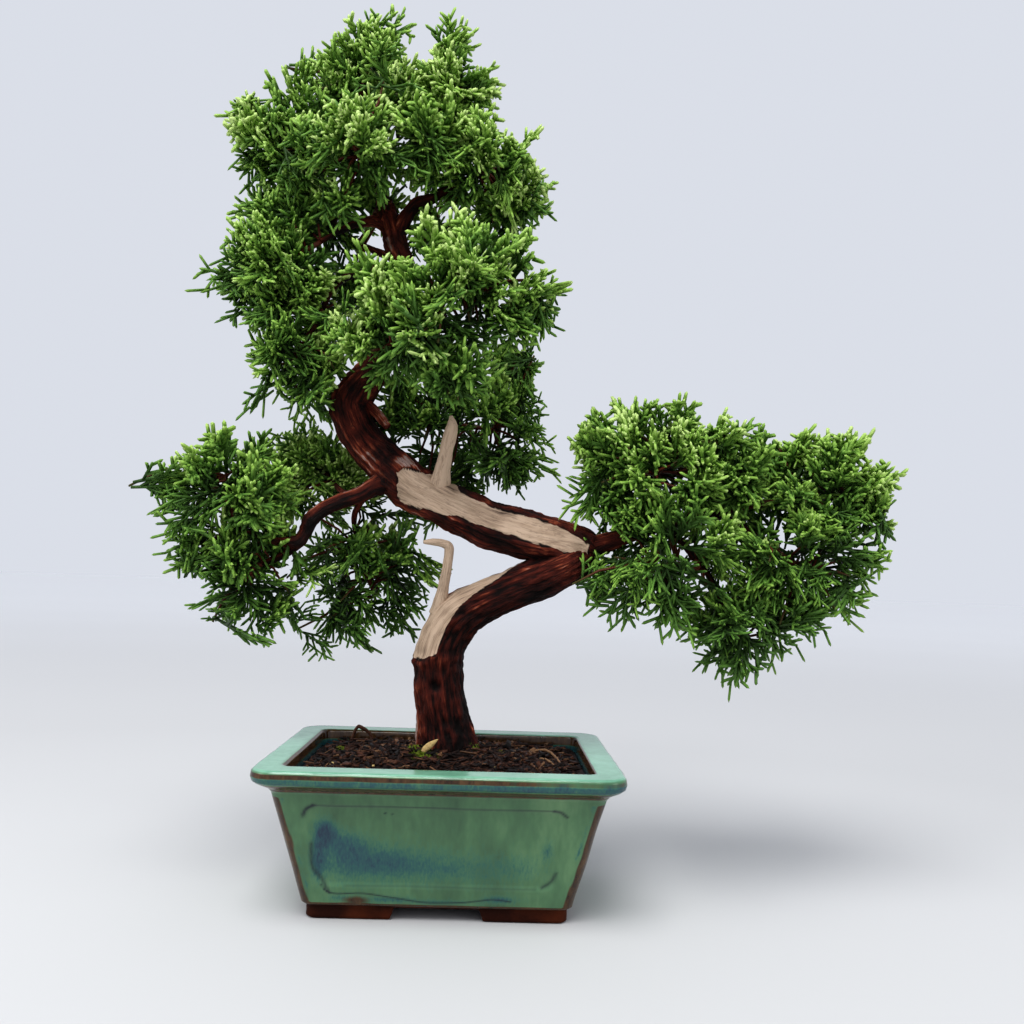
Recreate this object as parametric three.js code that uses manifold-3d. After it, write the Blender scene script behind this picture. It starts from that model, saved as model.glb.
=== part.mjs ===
// Shimpaku juniper bonsai in a glazed rectangular pot.
// Millimetres, +Z up, the front of the tree faces -Y. Everything is modelled about the middle of the
// pot's foot, and the finished tree is then moved so that the origin is the middle of its whole base.
import * as THREE from 'three';
import { mergeVertices } from 'three/addons/utils/BufferGeometryUtils.js';
import { LoftGeometry } from 'three/addons/geometries/LoftGeometry.js';
import Module from 'manifold-3d';

const wasm = await Module();
wasm.setup();

// Clearance between pieces that touch
const GAP = 0.3;
const WALL_ROOM = GAP + 0.1;

// Pot
const POT_LENGTH = 152;
const POT_WIDTH = 112;
const POT_HEIGHT = 64;
const LIP_OVERHANG = 8.3;
const BODY_TAPER = 11.2;
const FOOT_HEIGHT = 5.8;
const FOOT_INSET = 2;
const FOOT_WIDTH = 9;
const FLOOR_TOP = 12;
const RIM_BAND = 12.4;
const RIM_CORNER = 10;
const WALL = 6;
const LIP_DEPTH = 12.5;
const BODY_TOP = POT_HEIGHT - LIP_DEPTH;
const BODY_BOTTOM = FOOT_HEIGHT + 0.8;
const BODY_BOTTOM_INSET = LIP_OVERHANG + BODY_TAPER;
const DRAIN_RADIUS = 7;
const DRAIN_SPACING = 56;
// Recessed panel of each wall: half its length along the top and the bottom
const LONG_PANEL = [53, 48.5];
const SHORT_PANEL = [33.5, 29];
const PANEL_HEIGHT = 34.2;
const PANEL_MIDDLE = 32.1;
const PANEL_DEPTH = 1;
const PANEL_CORNER = 4;
// Notches between the four feet
const LONG_NOTCH = 38;
const SHORT_NOTCH = 24;
const NOTCH_SLOPE = 1.5;

// Drainage mesh: a square of plastic net over each hole
const NET_SIZE = 22;
const NET_THICKNESS = 1.2;
const NET_HOLES = 3;
const NET_OPENING = 5;

// Soil
const SOIL_EDGE = 57;
const SOIL_MOUND = 8;
const SOIL_CLOD = 1.1;
const MOUND_Y = 11;
const MOUND_RINGS = [0.92, 0.78, 0.64, 0.5, 0.36, 0.2];
// Room round the trunk where it stands in the soil
const ROOT_ROOM = 0.5;

// Trunk, from the root stub in the soil to the elbow: x, y, z, thickness
const LOWER_TRUNK = [
  [1, 13, 34, 17], [0.5, 12.5, 50, 27], [0, 12, 62, 28.5], [-1.5, 12, 72, 25.5], [-3.5, 11.5, 83, 24],
  [-5.5, 10.5, 97, 23.5], [-5, 9, 109, 23.5], [-1, 8, 119, 23], [5.5, 6, 126.5, 22], [15.5, 4, 132.5, 20.5],
  [27, 2, 138, 19.5], [39, 0, 143, 19.5], [50, -3, 148.5, 19], [58, -5, 153, 17], [63, -6, 156, 11],
];
// Trunk, from the elbow to the dead knob in the crown
const UPPER_TRUNK = [
  [65, -6, 154, 9], [61, -5, 157, 16], [54, -4, 159.5, 18.5], [46.5, -2, 161, 20], [36.5, 0, 162.5, 21.5],
  [26, 2, 165, 22], [17.5, 3, 167, 22], [8, 5, 171, 21], [-1, 6, 175, 20.5], [-11.5, 8, 180, 20],
  [-21, 10, 185, 20.5], [-28.5, 12, 191, 21], [-36, 14, 197.5, 20], [-44, 15, 205, 18.5],
  [-50, 15, 214, 18.5], [-52.5, 15, 223, 19], [-49, 15, 231, 17.5], [-43, 15, 239.5, 15],
  [-36, 15, 252, 13.5], [-30.5, 15, 267, 12.5], [-27.5, 15, 281, 12], [-29.5, 15, 291, 11.5],
  [-33, 15, 300, 11], [-35.5, 15, 310, 10.5], [-38.5, 14.5, 317, 9], [-42, 12, 320, 5],
];
// Dead stubs: the upright one, the hooked one and the short one on the neck
const DEAD_STUBS = [
  [[-5.5, 5, 182, 10], [-6, 0, 190, 7.4], [-5.2, -1.5, 198, 6.4], [-2.8, -2.5, 206.5, 5.8],
    [-2.5, -3.3, 212, 3.8], [-3.8, -4, 217, 1.6]],
  [[-2.7, 7, 127, 9], [-2.8, 3, 136.5, 5.8], [-3, 1, 145, 4.8], [-3, 0, 152, 4.4], [-6.3, -1, 155.8, 3.6],
    [-13.3, -3, 157.3, 1.8]],
  [[-49, 14, 227, 4], [-40.7, 6, 219.8, 3], [-35, 1, 213.5, 2]],
];
// Steps along a limb and sides round it
const LOWER_TRUNK_MESH = { steps: 22, sides: 10 };
const UPPER_TRUNK_MESH = { steps: 28, sides: 9 };
const STUB_MESH = { steps: 6, sides: 6 };
const BRANCH_SIDES = 5;
const WOOD_RIDGE = 0.05;
const STUB_RIDGE = 0.08;
// Branches: each starts inside the limb that carries it, and its last point carries the foliage
const BRANCHES = {
  left: [
    [-26, 11, 190, 8], [-37.9, 6, 184, 6], [-44.3, 3, 179.3, 4.8], [-52.8, 0, 175.5, 4.4],
    [-60.6, -2, 171.8, 4.4], [-65.4, -4, 166.4, 4.4], [-67.6, -5, 160.3, 4.2], [-70.4, -6, 155.7, 4],
    [-79.5, -9, 156.1, 3], [-90, -11, 160, 2.4],
  ],
  left_low: [[-69.5, -5.8, 156.5, 3.4], [-76.9, -4, 149.6, 2.8], [-86, -3, 145, 2.2]],
  back_left: [[-48, 1.5, 177.5, 4], [-56.3, 18, 182.8, 3], [-64, 34, 189.4, 2.4]],
  under_left: [[-40, 5, 182.5, 3.6], [-48.5, 16, 170.8, 2.8], [-48.4, 30, 156, 2.2]],
  right: [
    [55, -5, 156, 11], [72, -9, 161.4, 8.4], [84, -12, 166, 7], [97, -10, 170, 5.6],
    [114.8, -6, 175.4, 4.4], [134.3, -2, 180, 3.4], [160, 2, 184.5, 2.4],
  ],
  right_up: [[82, -11.5, 165.5, 5], [87.9, -14, 176.5, 3.4], [89.9, -12, 187, 2.4]],
  right_back: [[108, -7, 173, 4], [118, 6, 178, 3.2], [128, 15, 184, 2.4]],
  right_low: [[94, -10.5, 169, 4.6], [104, -14, 160.5, 3.4], [108, -15, 154, 2.4]],
  right_mid: [[119, -5, 176.3, 3.8], [133, -6, 169.6, 3], [143, -5, 163, 2.4]],
  right_bottom: [[103, -13.5, 161.5, 3.2], [116, -10, 147.4, 2.8], [123, -8, 134, 2.2]],
  front: [[-29, 14, 270, 6.5], [-24.2, 0, 267, 4.6], [-18.5, -12, 265, 3.6], [-11, -24, 263, 2.6]],
  front_left: [[-37, 13, 248, 4], [-36, 2, 246, 3.2], [-33, -8, 244.5, 2.4]],
  back_right: [[-50, 16, 219, 6], [-42.6, 30, 220.6, 4], [-31.2, 40, 222, 3.2], [-16, 43.5, 222.2, 2.4]],
  crown_low_left: [
    [-29.3, 15, 289, 6.5], [-38, 12, 289.4, 5], [-48.5, 9, 286.3, 4.2], [-56, 7, 282.4, 3.6],
    [-62, 6, 276, 3], [-66, 6.5, 267, 2.4],
  ],
  crown_up_left: [
    [-35.5, 15, 309, 6], [-43.8, 12, 312, 4.6], [-52.8, 9, 309.4, 3.8], [-60.3, 7, 304.3, 3],
    [-68, 6, 299, 2.4],
  ],
  crown_back: [[-31, 15, 296, 5], [-41, 24, 301, 3.8], [-52, 32, 308, 2.6]],
  crown_up_right: [
    [-34, 15, 304, 8], [-29.5, 12, 314, 6.4], [-24.2, 9, 320, 6], [-17.4, 7, 322, 5.4],
    [-11.2, 5, 325, 4.2], [-4, 4, 329, 2.6],
  ],
  apex: [
    [-37, 15, 313, 7], [-42.4, 18, 330.5, 5.4], [-47.5, 19, 346, 4.6], [-51.6, 19, 363, 3.4],
    [-53.4, 18, 376, 2.4],
  ],
  apex_left: [[-47.5, 19, 346, 4], [-61, 19, 349.5, 3.2], [-76, 17.5, 345.5, 2.2]],
  apex_right: [[-51, 19, 361, 3.6], [-37, 17, 366, 3], [-26, 14, 369, 2.2]],
  centre_front: [[-43, 18, 332, 3.6], [-45, 6, 331, 2.8], [-46.5, 0, 331, 2.2]],
};

// Foliage: centre and half-sizes of each cloud of sprays, and the branch that carries it
const CLOUDS = {
  foliage_apex: { branch: 'apex', centre: [-51, 18, 388], reach: [25, 22, 21] },
  foliage_upper_right: { branch: 'apex_right', centre: [-14, 12, 378], reach: [24, 22, 22] },
  foliage_upper_left: { branch: 'apex_left', centre: [-89, 15, 347], reach: [25, 23, 23] },
  foliage_upper_middle: { branch: 'centre_front', centre: [-49, -12, 333], reach: [25, 20, 23] },
  foliage_crown_left: { branch: 'crown_back', centre: [-70, 36, 322], reach: [24, 21, 20] },
  foliage_right_shoulder: { branch: 'crown_up_right', centre: [7, 6, 335], reach: [32, 27, 25] },
  foliage_left_shoulder: { branch: 'crown_up_left', centre: [-90, 5, 290], reach: [28, 28, 26] },
  foliage_left_skirt: { branch: 'crown_low_left', centre: [-80, 9, 241], reach: [27, 26, 28] },
  foliage_front: { branch: 'front', centre: [3, -30, 265], reach: [37, 27, 35] },
  foliage_front_left: { branch: 'front_left', centre: [-30, -22, 243], reach: [22, 21, 21] },
  foliage_back: { branch: 'back_right', centre: [6, 42, 220], reach: [44, 27, 43] },
  foliage_far_left: { branch: 'left', centre: [-101, -8, 180], reach: [34, 30, 28] },
  foliage_far_left_skirt: { branch: 'left_low', centre: [-98, -2, 134], reach: [29, 27, 25] },
  foliage_rear_left: { branch: 'back_left', centre: [-69, 45, 195], reach: [28, 26, 26] },
  foliage_rear_hanging: { branch: 'under_left', centre: [-43, 38, 139], reach: [36, 28, 31] },
  foliage_right_near: { branch: 'right_up', centre: [91, -6, 197], reach: [42, 37, 33] },
  foliage_right_back: { branch: 'right_back', centre: [140, 26, 195], reach: [28, 24, 27] },
  foliage_right_far: { branch: 'right', centre: [178, 5, 194], reach: [27, 27, 26] },
  foliage_right_low_near: { branch: 'right_low', centre: [100, -16, 152], reach: [39, 33, 33] },
  foliage_right_low_far: { branch: 'right_mid', centre: [156, -4, 154], reach: [40, 35, 33] },
  foliage_right_tip: { branch: 'right_bottom', centre: [130, -6, 122], reach: [32, 28, 26] },
};

// A spray is a slim three-sided core, and each of its faces runs out into a pointed cord
const FEWEST_BANDS = 2;
const MOST_BANDS = 5;
const BAND_HEIGHT = 3.6;
const BAND_TURN = THREE.MathUtils.degToRad(20);
const CORE_RADIUS = 1.5;
const CORD_LENGTH = 21;
// A cord with no room for its whole length is tried at these shares of it
const CORD_SHARES = [1, 0.8, 0.6, 0.45];
const LAST_SPREAD = THREE.MathUtils.degToRad(35);
const SPREAD_STEP = THREE.MathUtils.degToRad(6);
const LEADER_LENGTH = 12;
// Share of a cloud's radius that its sprays take up
const CORE_DEPTH = 0.75;
const SPRAY_AREA = 395;
const FEWEST_SPRAYS = 9;
const MOST_TRIES = 40;
const STEM_STEPS = 4;
const TWIG_RADIUS = 0.7;
const SHORTEST_TWIG = 2.5;
const GOLDEN_TURN = Math.PI * (3 - Math.sqrt(5));
const SEED = 20;

const UP = new THREE.Vector3(0, 0, 1);

/** A repeatable source of numbers from 0 to 1. */
function seededRandom(seed) {
  let state = seed;
  return () => {
    state = (state + 0x6d2b79f5) | 0;
    let mixed = Math.imul(state ^ (state >>> 15), 1 | state);
    mixed = (mixed + Math.imul(mixed ^ (mixed >>> 7), 61 | mixed)) ^ mixed;
    return ((mixed ^ (mixed >>> 14)) >>> 0) / 4294967296;
  };
}

/** A closed geometry as a solid, with its shared vertices merged and its flat triangles dropped. */
function solidOf(geometry) {
  const plain = new THREE.BufferGeometry();
  plain.setAttribute('position', geometry.attributes.position);
  plain.setIndex(geometry.index);
  const merged = mergeVertices(plain);
  const corners = Array.from(merged.index.array);
  const kept = [];
  for (let i = 0; i < corners.length; i += 3) {
    const [a, b, c] = corners.slice(i, i + 3);
    if (a !== b && b !== c && c !== a) {
      kept.push(a, b, c);
    }
  }
  return new wasm.Manifold(new wasm.Mesh({
    numProp: 3,
    vertProperties: merged.attributes.position.array,
    triVerts: new Uint32Array(kept),
  }));
}

/** A named mesh of a solid. Only the largest body is kept, so loose scraps and sealed hollows go. */
function meshOf(name, solid, material, smallestStep = 0.02) {
  const bodies = solid.decompose().sort((one, other) => other.volume() - one.volume());
  const { vertProperties, triVerts } = bodies[0].simplify(smallestStep).getMesh();
  const geometry = new THREE.BufferGeometry();
  geometry.setAttribute('position', new THREE.BufferAttribute(vertProperties, 3));
  geometry.setIndex(new THREE.BufferAttribute(triVerts, 1));
  geometry.computeVertexNormals();
  const mesh = new THREE.Mesh(geometry, material);
  mesh.name = name;
  return mesh;
}

/** Any direction square to the given one. */
function squareTo(direction) {
  const helper = Math.abs(direction.z) > 0.8 ? new THREE.Vector3(1, 0, 0) : UP;
  return new THREE.Vector3().crossVectors(helper, direction).normalize();
}

/** Stations along a smooth curve through x, y, z, thickness, each carried on without twist. */
function stationsAlong(controls, steps) {
  const curve = (points) => new THREE.CatmullRomCurve3(points, false, 'catmullrom', 0.5);
  const centre = curve(controls.map(([x, y, z]) => new THREE.Vector3(x, y, z)));
  const thickness = curve(controls.map((control) => new THREE.Vector3(control[3], 0, 0)));
  const stations = [];
  for (let i = 0; i <= steps; i += 1) {
    const tangent = centre.getTangent(i / steps);
    const across = i === 0 ? squareTo(tangent) : stations[i - 1].across.clone();
    across.addScaledVector(tangent, -across.dot(tangent)).normalize();
    stations.push({
      point: centre.getPoint(i / steps),
      tangent,
      across,
      radius: thickness.getPoint(i / steps).x / 2,
    });
  }
  return stations;
}

/** A limb round the stations: how many sides, how high its winding ridges, how far it is grown. */
function limb(stations, { sides, ridge = 0, grow = 0 }) {
  const sections = stations.map(({ point, tangent, across, radius }, row) => {
    const beside = new THREE.Vector3().crossVectors(tangent, across);
    const ring = [];
    for (let i = 0; i < sides; i += 1) {
      const angle = (i / sides) * Math.PI * 2;
      const ribs = 0.6 * Math.cos(3 * angle + 0.16 * row) + 0.4 * Math.cos(4 * angle - 0.23 * row);
      const arm = radius * (1 + ridge * ribs) + grow;
      ring.push(point.clone()
        .addScaledVector(across, Math.cos(angle) * arm)
        .addScaledVector(beside, Math.sin(angle) * arm));
    }
    return ring;
  });
  const capEnd = stations[stations.length - 1].radius > 0;
  return solidOf(new LoftGeometry(sections, { capStart: true, capEnd }));
}

/** One ring of a rectangle with round corners, counterclockwise seen from above. */
function roundedRing(halfX, halfY, corner, z, perCorner = 3, perSide = 1) {
  const ring = [];
  const signs = [[1, 1], [-1, 1], [-1, -1], [1, -1]];
  signs.forEach(([signX, signY], quarter) => {
    const middleX = signX * (halfX - corner);
    const middleY = signY * (halfY - corner);
    for (let i = 0; i <= perCorner; i += 1) {
      const angle = (quarter + i / perCorner) * (Math.PI / 2);
      const x = middleX + corner * Math.cos(angle);
      ring.push(new THREE.Vector3(x, middleY + corner * Math.sin(angle), z));
    }
    const [nextX, nextY] = signs[(quarter + 1) % 4];
    const last = ring[ring.length - 1];
    const next = new THREE.Vector3(nextX * (halfX - corner), nextY * (halfY - corner), z);
    const turn = (quarter + 1) * (Math.PI / 2);
    next.add(new THREE.Vector3(corner * Math.cos(turn), corner * Math.sin(turn), 0));
    for (let i = 1; i < perSide; i += 1) {
      ring.push(new THREE.Vector3().lerpVectors(last, next, i / perSide));
    }
  });
  return ring;
}

/** A ring of the pot: so far in from the rim's edge, at a height, with a corner radius. */
function potRing([inset, z, corner], ...divisions) {
  return roundedRing(POT_LENGTH / 2 - inset, POT_WIDTH / 2 - inset, corner, z, ...divisions);
}

/** A ring drawn together to one point, which closes a loft. */
function pole(x, y, z, count) {
  return Array.from({ length: count }, () => new THREE.Vector3(x, y, z));
}

/** The pot's inner wall, from the floor to the rim: inset, height, corner. */
const INNER_WALL = [
  [BODY_BOTTOM_INSET + WALL + 1, FLOOR_TOP, 3],
  [BODY_BOTTOM_INSET + WALL - 1.5, FLOOR_TOP + 2, 4],
  [RIM_BAND + 1.2, BODY_TOP, 4],
  [RIM_BAND + 0.4, POT_HEIGHT - 4, 4],
];

/** A recess tool for one wall's panel: a rounded trapezoid laid against the sloping wall. */
function panelTool([halfTop, halfBottom], halfBody, turn) {
  const corner = PANEL_CORNER;
  const height = PANEL_HEIGHT;
  const outline = new THREE.Shape();
  outline.moveTo(-halfBottom + corner, -height / 2);
  outline.lineTo(halfBottom - corner, -height / 2);
  outline.quadraticCurveTo(halfBottom, -height / 2, halfBottom + 0.5, -height / 2 + corner);
  outline.lineTo(halfTop - 0.5, height / 2 - corner);
  outline.quadraticCurveTo(halfTop, height / 2, halfTop - corner, height / 2);
  outline.lineTo(-halfTop + corner, height / 2);
  outline.quadraticCurveTo(-halfTop, height / 2, -halfTop + 0.5, height / 2 - corner);
  outline.lineTo(-halfBottom - 0.5, -height / 2 + corner);
  outline.quadraticCurveTo(-halfBottom, -height / 2, -halfBottom + corner, -height / 2);
  const tool = new THREE.ExtrudeGeometry(outline, { depth: 5, bevelEnabled: false, curveSegments: 3 });
  const lean = Math.atan2(BODY_TAPER, BODY_TOP - BODY_BOTTOM);
  tool.translate(0, 0, -PANEL_DEPTH);
  tool.rotateX(Math.PI / 2 + lean);
  const rise = (PANEL_MIDDLE - BODY_BOTTOM) / (BODY_TOP - BODY_BOTTOM);
  tool.translate(0, -(halfBody - LIP_OVERHANG - BODY_TAPER * (1 - rise)), PANEL_MIDDLE);
  tool.rotateZ(turn);
  return solidOf(tool);
}

/** A notch through both feet of one pair of sides, a little narrower at its top. */
function footNotch(width, turn) {
  const outline = new THREE.Shape();
  outline.moveTo(-width / 2, -1);
  outline.lineTo(width / 2, -1);
  outline.lineTo(width / 2 - NOTCH_SLOPE, FOOT_HEIGHT - 0.6);
  outline.lineTo(-width / 2 + NOTCH_SLOPE, FOOT_HEIGHT - 0.6);
  const tool = new THREE.ExtrudeGeometry(outline, { depth: POT_LENGTH, bevelEnabled: false });
  tool.translate(0, 0, -POT_LENGTH / 2);
  tool.rotateX(Math.PI / 2);
  tool.rotateZ(turn);
  return solidOf(tool);
}

function makePot() {
  const footInset = BODY_BOTTOM_INSET + FOOT_INSET;
  const outside = [
    [footInset + FOOT_WIDTH + 1, FOOT_HEIGHT, 4],
    [footInset + FOOT_WIDTH, 0, 4],
    [footInset + 0.4, 0, 4],
    [footInset, 0.5, 5],
    [footInset, FOOT_HEIGHT - 0.4, 5],
    [BODY_BOTTOM_INSET + 0.7, FOOT_HEIGHT, 6],
    [BODY_BOTTOM_INSET, BODY_BOTTOM, 6.5],
    [LIP_OVERHANG, BODY_TOP, 7.5],
    [LIP_OVERHANG - 0.7, BODY_TOP + 2.2, 8],
    [LIP_OVERHANG - 2.2, BODY_TOP + 4, 8.5],
    [LIP_OVERHANG - 4.8, BODY_TOP + 5.4, 9],
    [2, POT_HEIGHT - 6.2, 9],
    [0.5, POT_HEIGHT - 5, RIM_CORNER],
    [0, POT_HEIGHT - 3.2, RIM_CORNER],
    [0.3, POT_HEIGHT - 1, RIM_CORNER],
    [1.4, POT_HEIGHT, 9],
    [RIM_BAND - 1, POT_HEIGHT, 4.5],
    [RIM_BAND, POT_HEIGHT - 0.9, 4],
  ];
  const rings = [...outside, ...INNER_WALL.toReversed()].map((row) => potRing(row));
  const count = rings[0].length;
  const sections = [pole(0, 0, FOOT_HEIGHT, count), ...rings, pole(0, 0, FLOOR_TOP, count)];
  let pot = solidOf(new LoftGeometry(sections));
  for (const turn of [0, Math.PI]) {
    pot = pot.subtract(panelTool(LONG_PANEL, POT_WIDTH / 2, turn));
    pot = pot.subtract(panelTool(SHORT_PANEL, POT_LENGTH / 2, turn + Math.PI / 2));
  }
  pot = pot.subtract(footNotch(LONG_NOTCH, 0)).subtract(footNotch(SHORT_NOTCH, Math.PI / 2));
  for (const side of [-1, 1]) {
    const hole = new THREE.CylinderGeometry(DRAIN_RADIUS, DRAIN_RADIUS, 3 * FLOOR_TOP, 16);
    hole.rotateX(Math.PI / 2);
    hole.translate((side * DRAIN_SPACING) / 2, 0, 0);
    pot = pot.subtract(solidOf(hole));
  }
  return pot;
}

/** The square of net over one drainage hole. */
function makeDrainNet(side) {
  const middleZ = FLOOR_TOP + GAP + NET_THICKNESS / 2;
  const block = (size, height, x, y) => {
    const box = new THREE.BoxGeometry(size, size, height);
    box.translate((side * DRAIN_SPACING) / 2 + x, y, middleZ);
    return solidOf(box);
  };
  let net = block(NET_SIZE, NET_THICKNESS, 0, 0);
  const pitch = (NET_SIZE - 1) / NET_HOLES;
  for (let i = 0; i < NET_HOLES * NET_HOLES; i += 1) {
    const column = (i % NET_HOLES) - (NET_HOLES - 1) / 2;
    const row = Math.floor(i / NET_HOLES) - (NET_HOLES - 1) / 2;
    net = net.subtract(block(NET_OPENING, 2 * NET_THICKNESS, column * pitch, row * pitch));
  }
  return net;
}

/** The block of soil that fills the pot, mounded and cloddy on top, with the root's hole in it. */
function makeSoil(rootStations) {
  const random = seededRandom(SEED);
  const inside = INNER_WALL.slice(0, 3).map(([inset, z, corner]) => [inset + WALL_ROOM, z, corner]);
  inside[0][1] += GAP;
  const [wallInset, wallTop] = INNER_WALL[2];
  const [rimInset, rimTop] = INNER_WALL[3];
  const climb = (SOIL_EDGE - wallTop) / (rimTop - wallTop);
  inside[2][0] = WALL_ROOM + THREE.MathUtils.lerp(wallInset, rimInset, climb);
  inside[2][1] = SOIL_EDGE;
  const sections = inside.map((row) => potRing(row, 3, 5));
  const edge = sections[2];
  for (const share of MOUND_RINGS) {
    sections.push(edge.map((corner) => {
      const rise = SOIL_MOUND * (1 - share) ** 0.8;
      const clod = SOIL_CLOD * (random() - 0.5) * 2;
      const y = corner.y * share + MOUND_Y * (1 - share);
      return new THREE.Vector3(corner.x * share, y, SOIL_EDGE + rise + clod);
    }));
  }
  sections.push(pole(0, MOUND_Y, SOIL_EDGE + SOIL_MOUND, edge.length));
  let soil = solidOf(new LoftGeometry(sections, { capStart: true }));
  const root = { sides: LOWER_TRUNK_MESH.sides, ridge: WOOD_RIDGE, grow: ROOT_ROOM };
  soil = soil.subtract(limb(rootStations, root));
  for (const side of [-1, 1]) {
    const pocketSize = NET_SIZE + 2 * GAP;
    const pocket = new THREE.BoxGeometry(pocketSize, pocketSize, 2 * (NET_THICKNESS + 2 * GAP));
    pocket.translate((side * DRAIN_SPACING) / 2, 0, FLOOR_TOP);
    soil = soil.subtract(solidOf(pocket));
  }
  return soil;
}

/** Everything that has grown so far, as straight capsules, so that later growth bends clear of it. */
const grown = [];

/** The shortest distance between two straight stretches. */
function stretchDistance(a, b, c, d) {
  const along = new THREE.Vector3().subVectors(b, a);
  const other = new THREE.Vector3().subVectors(d, c);
  const between = new THREE.Vector3().subVectors(a, c);
  const lengthA = along.lengthSq();
  const lengthB = other.lengthSq();
  const mix = along.dot(other);
  const reachA = along.dot(between);
  const reachB = other.dot(between);
  const spread = lengthA * lengthB - mix * mix;
  let s = spread > 1e-9 ? THREE.MathUtils.clamp((mix * reachB - reachA * lengthB) / spread, 0, 1) : 0;
  let t = (mix * s + reachB) / lengthB;
  if (t < 0 || t > 1) {
    t = THREE.MathUtils.clamp(t, 0, 1);
    s = THREE.MathUtils.clamp((mix * t - reachA) / lengthA, 0, 1);
  }
  return a.clone().addScaledVector(along, s).distanceTo(c.clone().addScaledVector(other, t));
}

/** Adds a straight stretch to what has grown. */
function remember(from, to, radius, owner) {
  const middle = new THREE.Vector3().lerpVectors(from, to, 0.5);
  grown.push({ from, to, radius, owner, middle, half: from.distanceTo(to) / 2 });
}

/** Whether a stretch stays clear of all that grew before it, apart from what it may join. */
function isClear(from, to, radius, mayJoin) {
  const middle = new THREE.Vector3().lerpVectors(from, to, 0.5);
  const half = from.distanceTo(to) / 2;
  return grown.every((stretch) => {
    const room = radius + stretch.radius + GAP;
    return middle.distanceTo(stretch.middle) > half + stretch.half + room
      || mayJoin(stretch)
      || stretchDistance(from, to, stretch.from, stretch.to) > room;
  });
}

function rememberStations(stations, owner) {
  for (let i = 1; i < stations.length; i += 1) {
    const radius = Math.max(stations[i - 1].radius, stations[i].radius) * 1.06;
    remember(stations[i - 1].point, stations[i].point, radius, owner);
  }
}

/** The trunk with its branches and dead stubs, all one piece of wood. */
function makeTrunk(lowerStations, branchStations) {
  const upper = stationsAlong(UPPER_TRUNK, UPPER_TRUNK_MESH.steps);
  const pieces = [
    limb(lowerStations, { sides: LOWER_TRUNK_MESH.sides, ridge: WOOD_RIDGE }),
    limb(upper, { sides: UPPER_TRUNK_MESH.sides, ridge: WOOD_RIDGE }),
  ];
  rememberStations(lowerStations, 'wood');
  rememberStations(upper, 'wood');
  for (const stub of DEAD_STUBS) {
    const stations = stationsAlong(stub, STUB_MESH.steps);
    rememberStations(stations, 'wood');
    pieces.push(limb(stations, { sides: STUB_MESH.sides, ridge: STUB_RIDGE }));
  }
  for (const stations of Object.values(branchStations)) {
    rememberStations(stations, 'wood');
    pieces.push(limb(stations, { sides: BRANCH_SIDES }));
  }
  return wasm.Manifold.union(pieces);
}

/** Plans one cloud: a main twig from the branch's end, and the place of each spray round it. */
function planCloud(name, cloud, end, random) {
  const centre = new THREE.Vector3(...cloud.centre);
  const reach = new THREE.Vector3(...cloud.reach);
  const root = end.point.clone().addScaledVector(end.tangent, GAP);
  const toCentre = new THREE.Vector3().subVectors(centre, root);
  const first = root.clone().addScaledVector(end.tangent, Math.max(5, toCentre.length() * 0.35));
  const far = centre.clone().addScaledVector(toCentre.normalize(), 0.15 * reach.length());
  const stem = stationsAlong([
    [...root.toArray(), 2 * end.radius],
    [...first.toArray(), 3],
    [...centre.toArray(), 2.8],
    [...far.toArray(), 1.8],
  ], STEM_STEPS);
  rememberStations(stem.slice(1), name);

  const sprays = [];
  const areas = reach.x * reach.y + reach.y * reach.z + reach.z * reach.x;
  const count = Math.max(FEWEST_SPRAYS, Math.round(areas / SPRAY_AREA));
  const firstTurn = random() * Math.PI * 2;
  for (let i = 0; i < count; i += 1) {
    for (let attempt = 0; attempt < MOST_TRIES; attempt += 1) {
      const loose = 0.2 + 0.03 * attempt;
      const height = 1 - (2 * (i + 0.5)) / count + (random() - 0.5) * loose;
      const level = THREE.MathUtils.clamp(height, -1, 1);
      const turn = firstTurn + i * GOLDEN_TURN + (random() - 0.5) * 4 * loose;
      const side = Math.sqrt(1 - level * level);
      const outward = new THREE.Vector3(side * Math.cos(turn), side * Math.sin(turn), level);
      const tip = outward.clone().multiply(reach).multiplyScalar(1 - 0.008 * attempt).add(centre);
      const heading = outward.clone().addScaledVector(UP, level > -0.2 ? 0.45 : -0.15).normalize();
      const inner = CORE_DEPTH * tip.distanceTo(centre) - LEADER_LENGTH;
      const bands = THREE.MathUtils.clamp(Math.round(inner / BAND_HEIGHT), FEWEST_BANDS, MOST_BANDS);
      const start = tip.clone().addScaledVector(heading, -bands * BAND_HEIGHT - LEADER_LENGTH);
      const nearest = stem.slice(1).reduce((best, station) => (
        station.point.distanceTo(start) < best.point.distanceTo(start) ? station : best));
      const isFree = isClear(start, tip, 2 * CORE_RADIUS, (stretch) => stretch.owner === name)
        && isClear(nearest.point, start, CORE_RADIUS, (stretch) => stretch.owner.startsWith(name));
      if (isFree && nearest.point.distanceTo(start) > SHORTEST_TWIG) {
        const owner = `${name} spray ${i}`;
        remember(nearest.point, start, CORE_RADIUS, owner);
        remember(start, tip, CORE_RADIUS, owner);
        sprays.push({ stemPoint: nearest.point, start, heading, bands, owner });
        break;
      }
    }
  }
  return { name, stem, sprays };
}

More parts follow.
